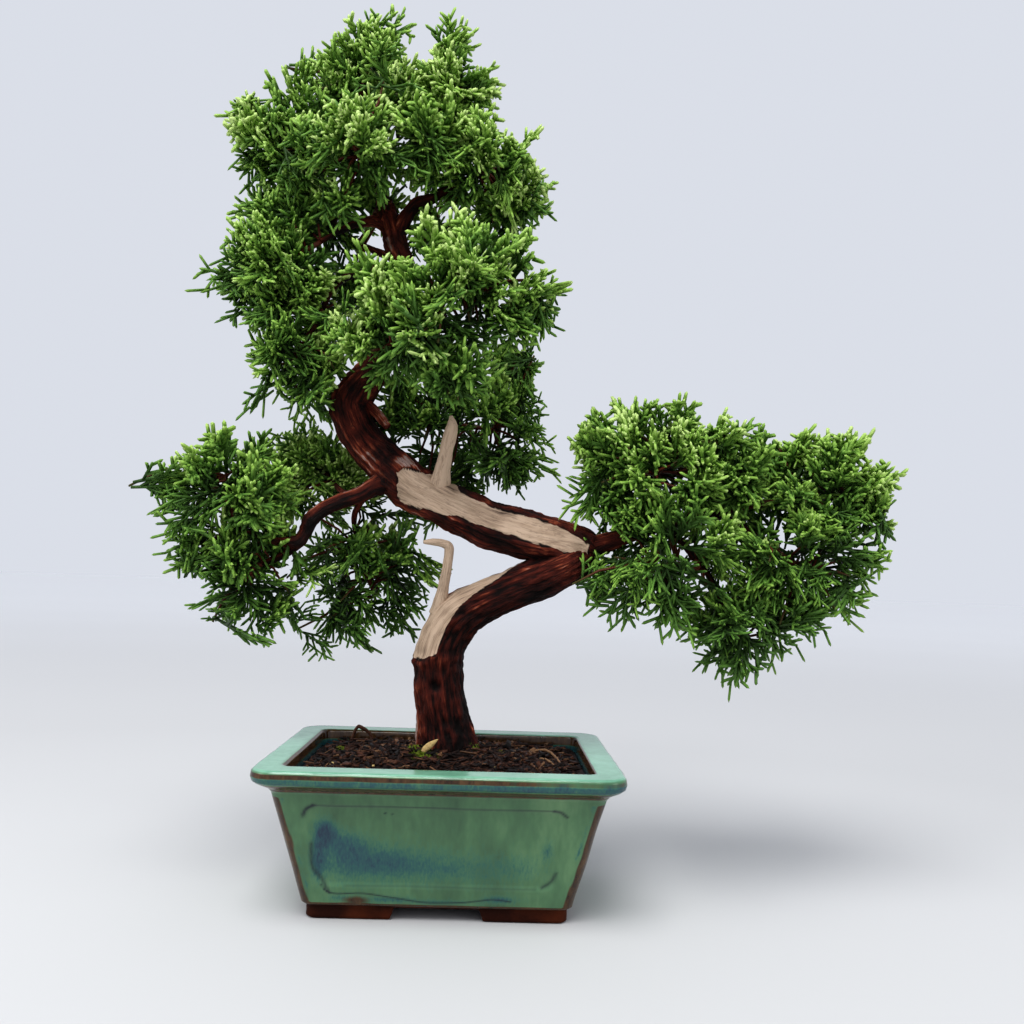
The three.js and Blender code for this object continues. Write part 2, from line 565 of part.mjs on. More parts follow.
/** A spray, made as one skin: rings of three corners along the core, and a cord raised from each face. */
function makeSpray({ stemPoint, start, heading, bands, owner }, random) {
  const twigHeading = new THREE.Vector3().subVectors(start, stemPoint).normalize();
  const bendHeading = twigHeading.clone().add(heading).normalize();
  const stops = [[stemPoint, twigHeading, TWIG_RADIUS], [start, bendHeading, CORE_RADIUS * 0.85]];
  for (let band = 1; band <= bands; band += 1) {
    const point = start.clone().addScaledVector(heading, band * BAND_HEIGHT);
    stops.push([point, heading, CORE_RADIUS * (1 - 0.05 * band)]);
  }
  const skin = new Skin();
  let across = squareTo(twigHeading);
  const twist = random() * Math.PI;
  const rings = stops.map(([point, tangent, radius], row) => {
    across = across.clone().addScaledVector(tangent, -across.dot(tangent)).normalize();
    const beside = new THREE.Vector3().crossVectors(tangent, across);
    return [0, 1, 2].map((corner) => {
      const angle = twist + Math.max(0, row - 1) * BAND_TURN + (corner / 3) * Math.PI * 2;
      return skin.add(point.clone()
        .addScaledVector(across, Math.cos(angle) * radius)
        .addScaledVector(beside, Math.sin(angle) * radius));
    });
  });
  skin.face([...rings[0]].reverse());
  for (let row = 1; row < rings.length; row += 1) {
    for (let corner = 0; corner < 3; corner += 1) {
      const next = (corner + 1) % 3;
      const face = [rings[row - 1][corner], rings[row - 1][next], rings[row][next], rings[row][corner]];
      if (row === 1) {
        skin.face(face);
      } else {
        const spread = LAST_SPREAD + SPREAD_STEP * (bands + 1 - row);
        raiseCord(skin, face, { start, heading, owner }, spread, random);
      }
    }
  }
  skin.raise(rings[rings.length - 1], heading.clone().multiplyScalar(LEADER_LENGTH));
  return solidOf(skin.geometry());
}

/** Raises a cord from one face of a core, as long as the room beside it allows. */
function raiseCord(skin, face, { start, heading, owner }, spread, random) {
  const middle = skin.middle(face);
  const outward = new THREE.Vector3().subVectors(middle, start);
  outward.addScaledVector(heading, -outward.dot(heading)).normalize();
  const direction = heading.clone().multiplyScalar(Math.cos(spread));
  direction.addScaledVector(outward, Math.sin(spread));
  const fullLength = CORD_LENGTH * (0.85 + 0.3 * random());
  for (const share of CORD_SHARES) {
    const end = middle.clone().addScaledVector(direction, fullLength * share);
    if (isClear(middle, end, CORE_RADIUS / 2, (stretch) => stretch.owner === owner)) {
      remember(middle, end, CORE_RADIUS / 2, owner);
      skin.raise(face, direction.clone().multiplyScalar(fullLength * share));
      return;
    }
  }
  skin.face(face);
}

/** A closed skin of flat faces, built up point by point. */
class Skin {
  constructor() {
    this.points = [];
    this.triangles = [];
  }

  add(point) {
    this.points.push(point);
    return this.points.length - 1;
  }

  middle(face) {
    const sum = face.reduce((total, index) => total.add(this.points[index]), new THREE.Vector3());
    return sum.divideScalar(face.length);
  }

  /** A face through three or four points, counterclockwise from outside. */
  face(corners) {
    for (let i = 2; i < corners.length; i += 1) {
      this.triangles.push(corners[0], corners[i - 1], corners[i]);
    }
  }

  /** Draws a face out along a direction to a point. */
  raise(corners, direction) {
    const tip = this.add(this.middle(corners).add(direction));
    corners.forEach((corner, i) => {
      this.face([corner, corners[(i + 1) % corners.length], tip]);
    });
  }

  geometry() {
    const geometry = new THREE.BufferGeometry().setFromPoints(this.points);
    geometry.setIndex(this.triangles);
    return geometry;
  }
}

const finish = (color, roughness) => new THREE.MeshStandardMaterial({ color, roughness, metalness: 0 });

const tree = new THREE.Group();
const lowerStations = stationsAlong(LOWER_TRUNK, LOWER_TRUNK_MESH.steps);
const branchStations = {};
for (const [name, controls] of Object.entries(BRANCHES)) {
  branchStations[name] = stationsAlong(controls, controls.length);
}
tree.add(meshOf('trunk', makeTrunk(lowerStations, branchStations), finish(0x4a231b, 0.85), 0.1));
tree.add(meshOf('pot', makePot(), finish(0x6fa58a, 0.25)));
const rootStations = lowerStations.filter(({ point }) => point.z < SOIL_EDGE + SOIL_MOUND + 12);
tree.add(meshOf('soil', makeSoil(rootStations), finish(0x2a1c14, 0.95)));
tree.add(meshOf('drain_net_left', makeDrainNet(-1), finish(0x20242a, 0.6)));
tree.add(meshOf('drain_net_right', makeDrainNet(1), finish(0x20242a, 0.6)));

const random = seededRandom(SEED);
const clouds = Object.entries(CLOUDS).map(([name, cloud]) => {
  const stations = branchStations[cloud.branch];
  return planCloud(name, cloud, stations[stations.length - 1], random);
});
for (const { name, stem, sprays } of clouds) {
  const pieces = [limb(stem, { sides: 3 }), ...sprays.map((spray) => makeSpray(spray, random))];
  tree.add(meshOf(name, wasm.Manifold.union(pieces), finish(0x2f6a22, 0.7)));
}

// The origin is the middle of the finished tree's base
const around = new THREE.Box3().setFromObject(tree);
const middle = around.getCenter(new THREE.Vector3());
tree.position.set(-middle.x, -middle.y, 0);

export default tree;
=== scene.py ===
"""A shimpaku juniper bonsai in its glazed pot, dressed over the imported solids.

Lengths are millimetres measured from the middle of the pot's foot, as in the solids' source, and each finished mesh
is turned into the frame's metres when its object is made. -Y is the tree's front.
"""
import logging
import math
from dataclasses import dataclass, field
from enum import Enum

import bpy
import numpy as np
from mathutils import Matrix, Vector


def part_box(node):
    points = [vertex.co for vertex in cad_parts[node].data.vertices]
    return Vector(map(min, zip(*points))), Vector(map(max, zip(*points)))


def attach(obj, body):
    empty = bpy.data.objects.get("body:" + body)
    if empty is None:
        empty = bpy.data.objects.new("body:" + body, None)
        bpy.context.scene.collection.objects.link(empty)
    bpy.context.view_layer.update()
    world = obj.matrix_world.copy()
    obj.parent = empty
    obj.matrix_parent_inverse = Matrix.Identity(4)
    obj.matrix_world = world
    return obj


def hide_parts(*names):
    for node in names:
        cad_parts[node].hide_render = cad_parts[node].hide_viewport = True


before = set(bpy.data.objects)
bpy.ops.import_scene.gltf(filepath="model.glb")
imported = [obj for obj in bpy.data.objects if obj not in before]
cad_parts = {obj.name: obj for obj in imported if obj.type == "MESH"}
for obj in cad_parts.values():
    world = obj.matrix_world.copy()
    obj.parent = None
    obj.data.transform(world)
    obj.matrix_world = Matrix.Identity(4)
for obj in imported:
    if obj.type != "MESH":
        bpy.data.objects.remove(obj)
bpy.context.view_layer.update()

MM = 0.001
GOLDEN_TURN = math.pi * (3 - math.sqrt(5))
UP = np.array([0.0, 0.0, 1.0])
log = logging.getLogger("bonsai")


def to_frame(points: np.ndarray) -> np.ndarray:
    """Turns millimetres from the pot's foot into the frame's metres, by the middle of the pot's own box.

    Args:
        points: Any array whose last axis is x, y, z in millimetres.

    Returns:
        The same array in metres in the row frame.
    """
    low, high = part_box("pot")
    return points * MM + np.array([(low.x + high.x) / 2, (low.y + high.y) / 2, 0.0])


def unit(vectors: np.ndarray) -> np.ndarray:
    """Scales vectors on the last axis to length one."""
    return vectors / np.maximum(np.linalg.norm(vectors, axis=-1, keepdims=True), 1e-12)


def smooth_step(low: float, high: float, value: np.ndarray) -> np.ndarray:
    """Runs from 0 at low to 1 at high along 3t^2 - 2t^3, and stays level outside."""
    share = np.clip((value - low) / (high - low), 0, 1)
    return share * share * (3 - 2 * share)


def band_inside(value: np.ndarray, low: float, high: float, soft: float = 0.4) -> np.ndarray:
    """One between low and high, with soft edges."""
    return smooth_step(low - soft, low + soft, value) * smooth_step(high + soft, high - soft, value)


def near(value: np.ndarray, width: float) -> np.ndarray:
    """A soft bump of height one round zero: e^(-(value / width)^2)."""
    return np.exp(-((value / width) ** 2))


def around(turn: np.ndarray, across: np.ndarray, beside: np.ndarray) -> np.ndarray:
    """Directions round each axis: the turn's cosine along across plus its sine along beside.

    Args:
        turn: The angles.
        across: One direction for each axis, square to it.
        beside: The direction square to both.

    Returns:
        An array of axes, angles and x, y, z.
    """
    return np.cos(turn)[None, :, None] * across[:, None] + np.sin(turn)[None, :, None] * beside[:, None]


def turns(count: int) -> np.ndarray:
    """Angles evenly spaced round a full turn, in radians."""
    return np.arange(count) * 2 * math.pi / count


def smooth_path(controls: np.ndarray, count: int) -> np.ndarray:
    """Points on a Catmull-Rom curve: between two rows, half the sum of their cubic blend with both neighbours.

    Args:
        controls: One row of any numbers for each control.
        count: How many points, evenly spaced in the curve's own parameter.

    Returns:
        An array of count rows.
    """
    padded = np.vstack([2 * controls[0] - controls[1], controls, 2 * controls[-1] - controls[-2]])
    place = np.linspace(0, len(controls) - 1, count)
    row = np.minimum(place.astype(int), len(controls) - 2)
    t = (place - row)[:, None]
    before, start, end, after = (padded[row + k] for k in range(4))
    return 0.5 * (2 * start + (end - before) * t + (2 * before - 5 * start + 4 * end - after) * t**2
                  + (3 * start - 3 * end + after - before) * t**3)


def waviness(points: np.ndarray, wavelength: float, seed: int, waves: int = 9) -> np.ndarray:
    """Smooth unevenness from -1 to 1: the mean of sine waves in random directions, about one wavelength long.

    Args:
        points: Places, with x, y, z on the last axis.
        wavelength: The typical distance between two crests, in the points' own unit.
        seed: Chooses the directions and phases.
        waves: How many sine waves are summed.

    Returns:
        One number for each place.
    """
    random = np.random.default_rng(seed)
    ways = unit(random.normal(size=(waves, 3))) * random.uniform(0.6, 1.5, (waves, 1)) * 2 * math.pi / wavelength
    phases = random.uniform(0, 2 * math.pi, waves)
    return np.sin(points @ ways.T + phases).sum(-1) / math.sqrt(waves) / 1.4


def grid_faces(rows: int, columns: int, closed: bool = True) -> np.ndarray:
    """The quads of a grid whose points are numbered row by row, facing out where columns turn leftwards round rows.

    Args:
        rows: Number of rows of points.
        columns: Number of points in a row.
        closed: Whether the last column joins the first.

    Returns:
        An array of four point numbers a quad.
    """
    row = np.arange(rows - 1)[:, None] * columns
    this = np.arange(columns if closed else columns - 1)[None, :]
    beside = (this + 1) % columns
    quads = np.stack([row + this, row + beside, row + columns + beside, row + columns + this], -1)
    return quads.reshape(-1, 4)


def new_object(name: str, data: bpy.types.ID) -> bpy.types.Object:
    """Makes an object of a mesh, a light or a camera and puts it into the scene."""
    made = bpy.data.objects.new(name, data)
    bpy.context.scene.collection.objects.link(made)
    return made


class Skin:
    """Gathers points and faces in millimetres, with named tones at each point, and makes one object of them."""

    def __init__(self) -> None:
        """Starts empty."""
        self.points: list[np.ndarray] = []
        self.quads: list[np.ndarray] = []
        self.triangles: list[np.ndarray] = []
        self.tones: dict[str, list[np.ndarray]] = {}
        self.count = 0

    def add(self, points: np.ndarray, quads: np.ndarray, triangles: np.ndarray | None = None,
            **tones: np.ndarray | float) -> None:
        """Adds points with the faces between them.

        Args:
            points: Rows of x, y, z.
            quads: Rows of four point numbers, counted from this call's first point.
            triangles: Rows of three point numbers, or None.
            tones: For each name, one number or one vector a point, or one number for all. Every call names the
                same tones.
        """
        self.points.append(points.reshape(-1, 3))
        self.quads.append(quads.reshape(-1, 4) + self.count)
        if triangles is not None:
            self.triangles.append(triangles.reshape(-1, 3) + self.count)
        size = len(self.points[-1])
        for name, tone in tones.items():
            spread = np.full(size, tone) if np.ndim(tone) == 0 else tone
            self.tones.setdefault(name, []).append(spread.reshape(size, -1))
        self.count += size

    def sleeve(self, rings: np.ndarray, **tones: np.ndarray | float) -> None:
        """Adds a closed sleeve of rings, each end drawn together to the middle of its ring.

        Args:
            rings: Array of rows, columns and x, y, z.
            tones: Arrays of rows and columns, or rows, columns and 3, or single numbers.
        """
        rows, columns = rings.shape[:2]
        points = rings.reshape(-1, 3)
        flat = {name: np.broadcast_to(tone, rings.shape[:2]) if np.ndim(tone) < 3 else tone
                for name, tone in tones.items()}
        flat = {name: tone.reshape(rows * columns, -1) for name, tone in flat.items()}
        fans = []
        for row in (0, rows - 1):
            edge = row * columns + np.arange(columns)
            middle = np.full(columns, len(points))
            points = np.vstack([points, points[edge].mean(0)])
            flat = {name: np.vstack([tone, tone[edge].mean(0)]) for name, tone in flat.items()}
            beside = np.roll(edge, -1)
            fans.append(np.stack([middle, beside, edge] if row == 0 else [middle, edge, beside], -1))
        self.add(points, grid_faces(rows, columns), np.vstack(fans), **flat)

    def piece(self, name: str, material: bpy.types.Material, slot: str, nodes: tuple[str, ...]) -> bpy.types.Object:
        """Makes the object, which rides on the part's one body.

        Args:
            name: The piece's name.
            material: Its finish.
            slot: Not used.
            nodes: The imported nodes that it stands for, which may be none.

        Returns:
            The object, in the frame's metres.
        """
        mesh = bpy.data.meshes.new(name)
        quads = np.vstack(self.quads)
        triangles = np.vstack(self.triangles) if self.triangles else np.zeros((0, 3), int)
        corners = np.concatenate([quads.ravel(), triangles.ravel()])
        starts = np.concatenate([np.arange(len(quads)) * 4, len(quads) * 4 + np.arange(len(triangles)) * 3])
        mesh.vertices.add(self.count)
        mesh.vertices.foreach_set("co", to_frame(np.vstack(self.points)).astype(np.float32).ravel())
        mesh.loops.add(len(corners))
        mesh.loops.foreach_set("vertex_index", corners.astype(np.int32))
        mesh.polygons.add(len(starts))
        mesh.polygons.foreach_set("loop_start", starts.astype(np.int32))
        mesh.polygons.foreach_set("use_smooth", np.ones(len(starts), bool))
        mesh.update(calc_edges=True)
        for tone_name, parts in self.tones.items():
            tone = np.vstack(parts).astype(np.float32)
            kind, key = ("FLOAT_VECTOR", "vector") if tone.shape[1] == 3 else ("FLOAT", "value")
            mesh.attributes.new(tone_name, kind, "POINT").data.foreach_set(key, tone.ravel())
        mesh.materials.append(material)
        piece = new_object(name, mesh)
        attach(piece, "root")
        if nodes:
            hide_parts(*nodes)
        log.info("%s: %d faces as triangles", name, 2 * len(quads) + len(triangles))
        return piece


def linear(colour: str) -> tuple[float, float, float, float]:
    """Turns an sRGB hex colour, such as #7a3d28, into linear red, green, blue and alpha."""
    channels = [int(colour[k : k + 2], 16) / 255 for k in (1, 3, 5)]
    bright = [c / 12.92 if c <= 0.04045 else ((c + 0.055) / 1.055) ** 2.4 for c in channels]
    return (*bright, 1.0)


class Coat:
    """A material in the making: nodes are added one by one, and the shader that they feed comes last."""

    def __init__(self, name: str) -> None:
        """Starts an empty material."""
        self.material = bpy.data.materials.new(name)
        self.material.use_nodes = True
        self.tree = self.material.node_tree
        self.tree.nodes.clear()

    def node(self, kind: str, sockets: dict | None = None, ramp: tuple[tuple[float, str], ...] = (),
             output: str | None = None, **settings: object) -> bpy.types.NodeSocket:
        """Adds a node with its settings and its links.

        Args:
            kind: The node's type name after its prefix ShaderNode.
            sockets: For each input's name or number, a value or the output socket that feeds it.
            ramp: The stops of a colour ramp, as place and sRGB hex colour.
            output: The output that is wanted, or None for the first one in use.
            settings: The node's own properties.

        Returns:
            The wanted output, or None where the node has no output.
        """
        node = self.tree.nodes.new("ShaderNode" + kind)
        for key, value in settings.items():
            setattr(node, key, value)
        for key, value in (sockets or {}).items():
            if isinstance(value, bpy.types.NodeSocket):
                self.tree.links.new(value, node.inputs[key])
            else:
                node.inputs[key].default_value = value
        if ramp:
            stops = node.color_ramp.elements
            while len(stops) < len(ramp):
                stops.new(0.5)
            for stop, (place, colour) in zip(stops, ramp):
                stop.position = place
                stop.color = linear(colour)
        if output:
            return node.outputs[output]
        return next((socket for socket in node.outputs if socket.enabled), None)

    def close(self, sockets: dict) -> bpy.types.Material:
        """Adds the shader with what feeds its sockets, and returns the finished material."""
        self.node("OutputMaterial", {"Surface": self.node("BsdfPrincipled", sockets)})
        return self.material


@dataclass(frozen=True)
class JuniperWood:
    """Living juniper bark, which peels in red-brown fibrous strips, and dead wood stripped bare, dry and pale.

    The grain vector runs round the limb in millimetres and along it six times slower, so noise read on it comes
    out as strips that follow the limb. Strip, fibre, patch and silk are waves a millimetre across the grain.
    """

    # Painted shade: the near black of the cracks and crevices between the bark's strips
    crevice_shade: str = "#0b0403"
    bark_dark: str = "#230b08"
    bark: str = "#43170f"
    bark_red: str = "#5c2418"
    bark_orange: str = "#944e34"
    flake: str = "#a98f86"
    crack: str = "#2c201a"
    weathered: str = "#867262"
    bare: str = "#a8917c"
    bare_light: str = "#c0a892"
    # Near black of the knots, and of painted shade in pits and along the bark's edge over the stripped wood
    knot_and_shade_dark: str = "#120908"
    strip: float = 0.62
    fibre: float = 2.2
    patch: float = 0.11
    silk: float = 0.55

    def material(self) -> bpy.types.Material:
        """Builds the material, which reads the tones grain, stripped, relief, and the tone that darkens knots and
        paints shade in pits and along the bark's edge.
        """
        coat = Coat("juniper_bark_and_bare_wood")
        node = coat.node
        tone = {name: node("Attribute", output="Fac", attribute_name=name) for name in ("stripped", "relief", "burnt")}
        grain = node("Attribute", output="Vector", attribute_name="grain")
        drawn_out = node("Mapping", {"Vector": grain, "Scale": (1.0, 1.0, 0.5)})
        noise = {name: node("TexNoise", {"Vector": drawn_out, "Scale": scale, "Detail": detail, "Roughness": rough})
                 for name, scale, detail, rough in (("strips", self.strip, 4.0, 0.52), ("fibres", self.fibre, 4.0, 0.6),
                                                    ("patches", self.patch, 3.0, 0.5), ("silk", self.silk, 3.0, 0.5))}
        # Living bark: the relief tone paints raised strips lighter and redder as a painted highlight, and the cracks
        # between them nearly black as painted shade
        raised = node("Math", {0: tone["relief"], 1: 0.32, 2: noise["strips"]}, operation="MULTIPLY_ADD")
        patched = node("Math", {0: noise["patches"], 1: 0.36, 2: raised}, operation="MULTIPLY_ADD")
        fibrous = node("Math", {0: noise["fibres"], 1: 0.5, 2: patched}, operation="MULTIPLY_ADD")
        lit = node("Math", {0: fibrous, 1: 0.48}, operation="SUBTRACT")
        bark = node("ValToRGB", {"Fac": lit}, ((0.14, self.crevice_shade), (0.3, self.bark_dark), (0.5, self.bark),
                                               (0.7, self.bark_red), (0.88, self.bark_orange), (1.0, self.flake)))
        off_line = node("Math", {0: noise["strips"], 1: 0.47}, operation="SUBTRACT")
        beside = node("Math", {0: off_line}, operation="ABSOLUTE")
        crack = node("MapRange", {"Value": beside, "From Max": 0.02, "To Min": 1.0, "To Max": 0.0})
        cracked = node("Mix", {0: crack, 6: bark, 7: linear(self.crevice_shade)}, data_type="RGBA")
        # Bare wood: pale and silky along the grain, with thin grey cracks
        smooth_tone = node("Math", {0: noise["fibres"], 1: 0.45, 2: noise["silk"]}, operation="MULTIPLY_ADD")
        worn_tone = node("Math", {0: tone["relief"], 1: 0.2, 2: smooth_tone}, operation="MULTIPLY_ADD")
        bare = node("ValToRGB", {"Fac": worn_tone}, ((0.26, self.crack), (0.42, self.weathered), (0.6, self.bare),
                                                     (0.86, self.bare_light)))
        thin_crack = node("Math", {0: crack, 1: 0.42}, operation="MULTIPLY")
        grained = node("Mix", {0: thin_crack, 6: bare, 7: linear(self.crack)}, data_type="RGBA")
        # The bark's edge frays along its strips; knots are darkened, and pits and the bark's edge beside the stripped
        # wood are painted nearly black as painted shade
        frayed = node("Math", {0: noise["strips"], 1: 0.5, 2: tone["stripped"]}, operation="MULTIPLY_ADD")
        share = node("MapRange", {"Value": frayed, "From Min": 0.68, "From Max": 0.82})
        colour = node("Mix", {0: share, 6: cracked, 7: grained}, data_type="RGBA")
        knot_and_shade_dark = node("Math", {0: noise["fibres"], 1: 0.8, 2: tone["burnt"]}, operation="MULTIPLY_ADD")
        knot_and_shade_share = node("MapRange", {"Value": knot_and_shade_dark, "From Min": 0.62, "From Max": 1.0})
        whole = node("Mix", {0: knot_and_shade_share, 6: colour, 7: linear(self.knot_and_shade_dark)}, data_type="RGBA")
        rough_height = node("Math", {0: noise["strips"], 1: 1.4, 2: noise["fibres"]}, operation="MULTIPLY_ADD")
        calm = node("MapRange", {"Value": share, "To Min": 1.0, "To Max": 0.3})
        height = node("Math", {0: rough_height, 1: calm}, operation="MULTIPLY")
        relief = node("Bump", {"Height": height, "Strength": 0.9, "Distance": 0.0011})
        return coat.close({"Base Color": whole, "Normal": relief, "Roughness": 0.7, "IOR": 1.45,
                           "Specular IOR Level": 0.22})


@dataclass(frozen=True)
class ScaleFoliage:
    """Cords of tiny pressed scale leaves: waxy, dark green where old and bright yellow-green at the growing tips.

    The scale leaf's length is in millimetres.
    """

    shade: str = "#1a260d"
    old: str = "#3b5728"
    leaf: str = "#5c8237"
    young: str = "#8caf4e"
    tip: str = "#bbd283"
    twig: str = "#5a2c1e"
    scale_leaf: float = 1.1

    def material(self) -> bpy.types.Material:
        """Builds the material, which reads the tones of growth and of wood; the growth tone also carries painted light
        and shade.
        """
        coat = Coat("scale_foliage")
        node = coat.node
        fresh, woody = (node("Attribute", output="Fac", attribute_name=name) for name in ("fresh", "woody"))
        place = node("TexCoord", output="Object")
        uneven = node("TexNoise", {"Vector": place, "Scale": 420.0, "Detail": 2.0})
        scales = node("TexVoronoi", {"Vector": place, "Scale": 1 / (MM * self.scale_leaf)}, feature="F1")
        mixed = node("Math", {0: uneven, 1: 0.3, 2: fresh}, operation="MULTIPLY_ADD")
        green = node("ValToRGB", {"Fac": mixed}, ((0.1, self.shade), (0.36, self.old), (0.62, self.leaf),
                                                  (0.86, self.young), (1.0, self.tip)))
        colour = node("Mix", {0: woody, 6: green, 7: linear(self.twig)}, data_type="RGBA")
        relief = node("Bump", {"Height": scales, "Strength": 0.5, "Distance": 0.0005}, invert=True)
        return coat.close({"Base Color": colour, "Normal": relief, "Roughness": 0.5, "IOR": 1.45,
                           "Specular IOR Level": 0.25})


@dataclass(frozen=True)
class RunningGlaze:
    """Stoneware under a running green glaze: it pools blue in the hollows and breaks to brown clay on the edges."""

    green_dark: str = "#3c5a42"
    green: str = "#507452"
    green_light: str = "#6f9268"
    # Painted sky reflection on the rim's flat top
    rim_reflection_dark: str = "#68987f"
    rim_reflection: str = "#7fb097"
    teal_green: str = "#43745f"
    teal: str = "#336459"
    blue: str = "#2a5057"
    navy: str = "#243047"
    break_brown: str = "#2e1a0b"
    break_ochre: str = "#553d22"
    line_blue: str = "#182229"

    def material(self) -> bpy.types.Material:
        """Builds the material, which reads the tones of the rim's painted sky reflection, pool, thin and line."""
        coat = Coat("running_glaze_on_stoneware")
        node = coat.node
        tone = {name: node("Attribute", output="Fac", attribute_name=name) for name in ("rim_reflection", "pool", "thin", "line")}
        place = node("TexCoord", output="Object")
        runs = node("Mapping", {"Vector": place, "Scale": (1000.0, 1000.0, 300.0)})
        noise = {name: node("TexNoise", {"Vector": runs, "Scale": scale, "Detail": detail, "Roughness": 0.65})
                 for name, scale, detail in (("cloudy", 0.05, 4.0), ("streaks", 0.35, 4.0), ("grit", 1.1, 3.0))}
        both = node("Math", {0: noise["streaks"], 1: 0.18, 2: noise["cloudy"]}, operation="MULTIPLY_ADD")
        green = node("ValToRGB", {"Fac": both}, ((0.36, self.green_dark), (0.62, self.green), (0.92, self.green_light)))
        pale = node("ValToRGB", {"Fac": noise["cloudy"]}, ((0.35, self.rim_reflection_dark), (0.62, self.rim_reflection)))
        # Painted reflection: the rim's flat top takes the pale colours as a painted sky reflection
        rim = node("Mix", {0: tone["rim_reflection"], 6: green, 7: pale}, data_type="RGBA")
        # Pools: the deeper the glaze, the bluer
        wet = node("Math", {0: noise["streaks"], 1: 0.3, 2: tone["pool"]}, operation="MULTIPLY_ADD")
        gritty = node("Math", {0: noise["grit"], 1: 0.9, 2: wet}, operation="MULTIPLY_ADD")
        depth = node("MapRange", {"Value": gritty, "From Min": 0.8, "From Max": 1.85})
        pool = node("ValToRGB", {"Fac": depth}, ((0.0, self.teal_green), (0.3, self.teal), (0.6, self.blue),
                                                 (0.9, self.navy)))
        pool_share = node("MapRange", {"Value": gritty, "From Min": 0.7, "From Max": 1.25})
        pooled = node("Mix", {0: pool_share, 6: rim, 7: pool}, data_type="RGBA")
        # Edges: the glaze runs off them, and brown clay shows through
        worn = node("Math", {0: noise["streaks"], 1: 0.5, 2: tone["thin"]}, operation="MULTIPLY_ADD")
        worn_share = node("MapRange", {"Value": worn, "From Min": 0.55, "From Max": 1.0})
        clay_tone = node("ValToRGB", {"Fac": noise["streaks"]}, ((0.35, self.break_brown), (0.68, self.break_ochre)))
        broken = node("Mix", {0: worn_share, 6: pooled, 7: clay_tone}, data_type="RGBA")
        lined = node("Mix", {0: tone["line"], 6: broken, 7: linear(self.line_blue)}, data_type="RGBA")
        relief = node("Bump", {"Height": noise["cloudy"], "Strength": 0.2, "Distance": 0.001})
        return coat.close({"Base Color": lined, "Normal": relief, "Roughness": 0.16, "IOR": 1.5})


@dataclass(frozen=True)
class BareStoneware:
    """Dark red-brown stoneware left unglazed under the foot, fired smooth and nearly without shine."""

    dark: str = "#2a0e05"
    light: str = "#4f230f"

    def material(self) -> bpy.types.Material:
        """Builds the material."""
        coat = Coat("bare_stoneware")
        node = coat.node
        place = node("TexCoord", output="Object")
        cloudy = node("TexNoise", {"Vector": place, "Scale": 60.0, "Detail": 5.0})
        grit = node("TexNoise", {"Vector": place, "Scale": 900.0, "Detail": 2.0})
        brown = node("ValToRGB", {"Fac": cloudy}, ((0.4, self.dark), (0.7, self.light)))
        relief = node("Bump", {"Height": grit, "Strength": 0.3, "Distance": 0.0004})
        return coat.close({"Base Color": brown, "Normal": relief, "Roughness": 0.65, "IOR": 1.5,
                           "Specular IOR Level": 0.12})


@dataclass(frozen=True)
class BarkMix:
    """Moist potting mix of crumbled bark and fibre, with each bit in its own brown."""

    dark: str = "#0a0504"
    middle: str = "#28150f"
    brown: str = "#553424"
    pale: str = "#8f7050"
    grit: str = "#c4ab74"
    moss: str = "#6f8420"

    def material(self) -> bpy.types.Material:
        """Builds the material, which reads the tones tint and moss."""
        coat = Coat("bark_mix")
        node = coat.node
        tint, moss = (node("Attribute", output="Fac", attribute_name=name) for name in ("tint", "moss"))
        place = node("TexCoord", output="Object")
        crumbs = node("TexNoise", {"Vector": place, "Scale": 700.0, "Detail": 6.0, "Roughness": 0.7})
        shade = node("Math", {0: crumbs, 1: 0.5, 2: tint}, operation="MULTIPLY_ADD")
        brown = node("ValToRGB", {"Fac": shade}, ((0.25, self.dark), (0.42, self.middle), (0.62, self.brown),
                                                  (0.84, self.pale), (1.0, self.grit)))
        colour = node("Mix", {0: moss, 6: brown, 7: linear(self.moss)}, data_type="RGBA")
        relief = node("Bump", {"Height": crumbs, "Strength": 0.7, "Distance": 0.0009})
        return coat.close({"Base Color": colour, "Normal": relief, "Roughness": 0.6, "IOR": 1.4,
                           "Specular IOR Level": 0.35})


@dataclass(frozen=True)
class MouldedNet:
    """Black polyethylene drainage mesh, matt from its mould."""

    black: str = "#1c1f22"

    def material(self) -> bpy.types.Material:
        """Builds the material."""
        coat = Coat("moulded_net")
        place = coat.node("TexCoord", output="Object")
        pits = coat.node("TexNoise", {"Vector": place, "Scale": 900.0})
        relief = coat.node("Bump", {"Height": pits, "Strength": 0.2, "Distance": 0.0003})
        return coat.close({"Base Color": linear(self.black), "Normal": relief, "Roughness": 0.6, "IOR": 1.5})


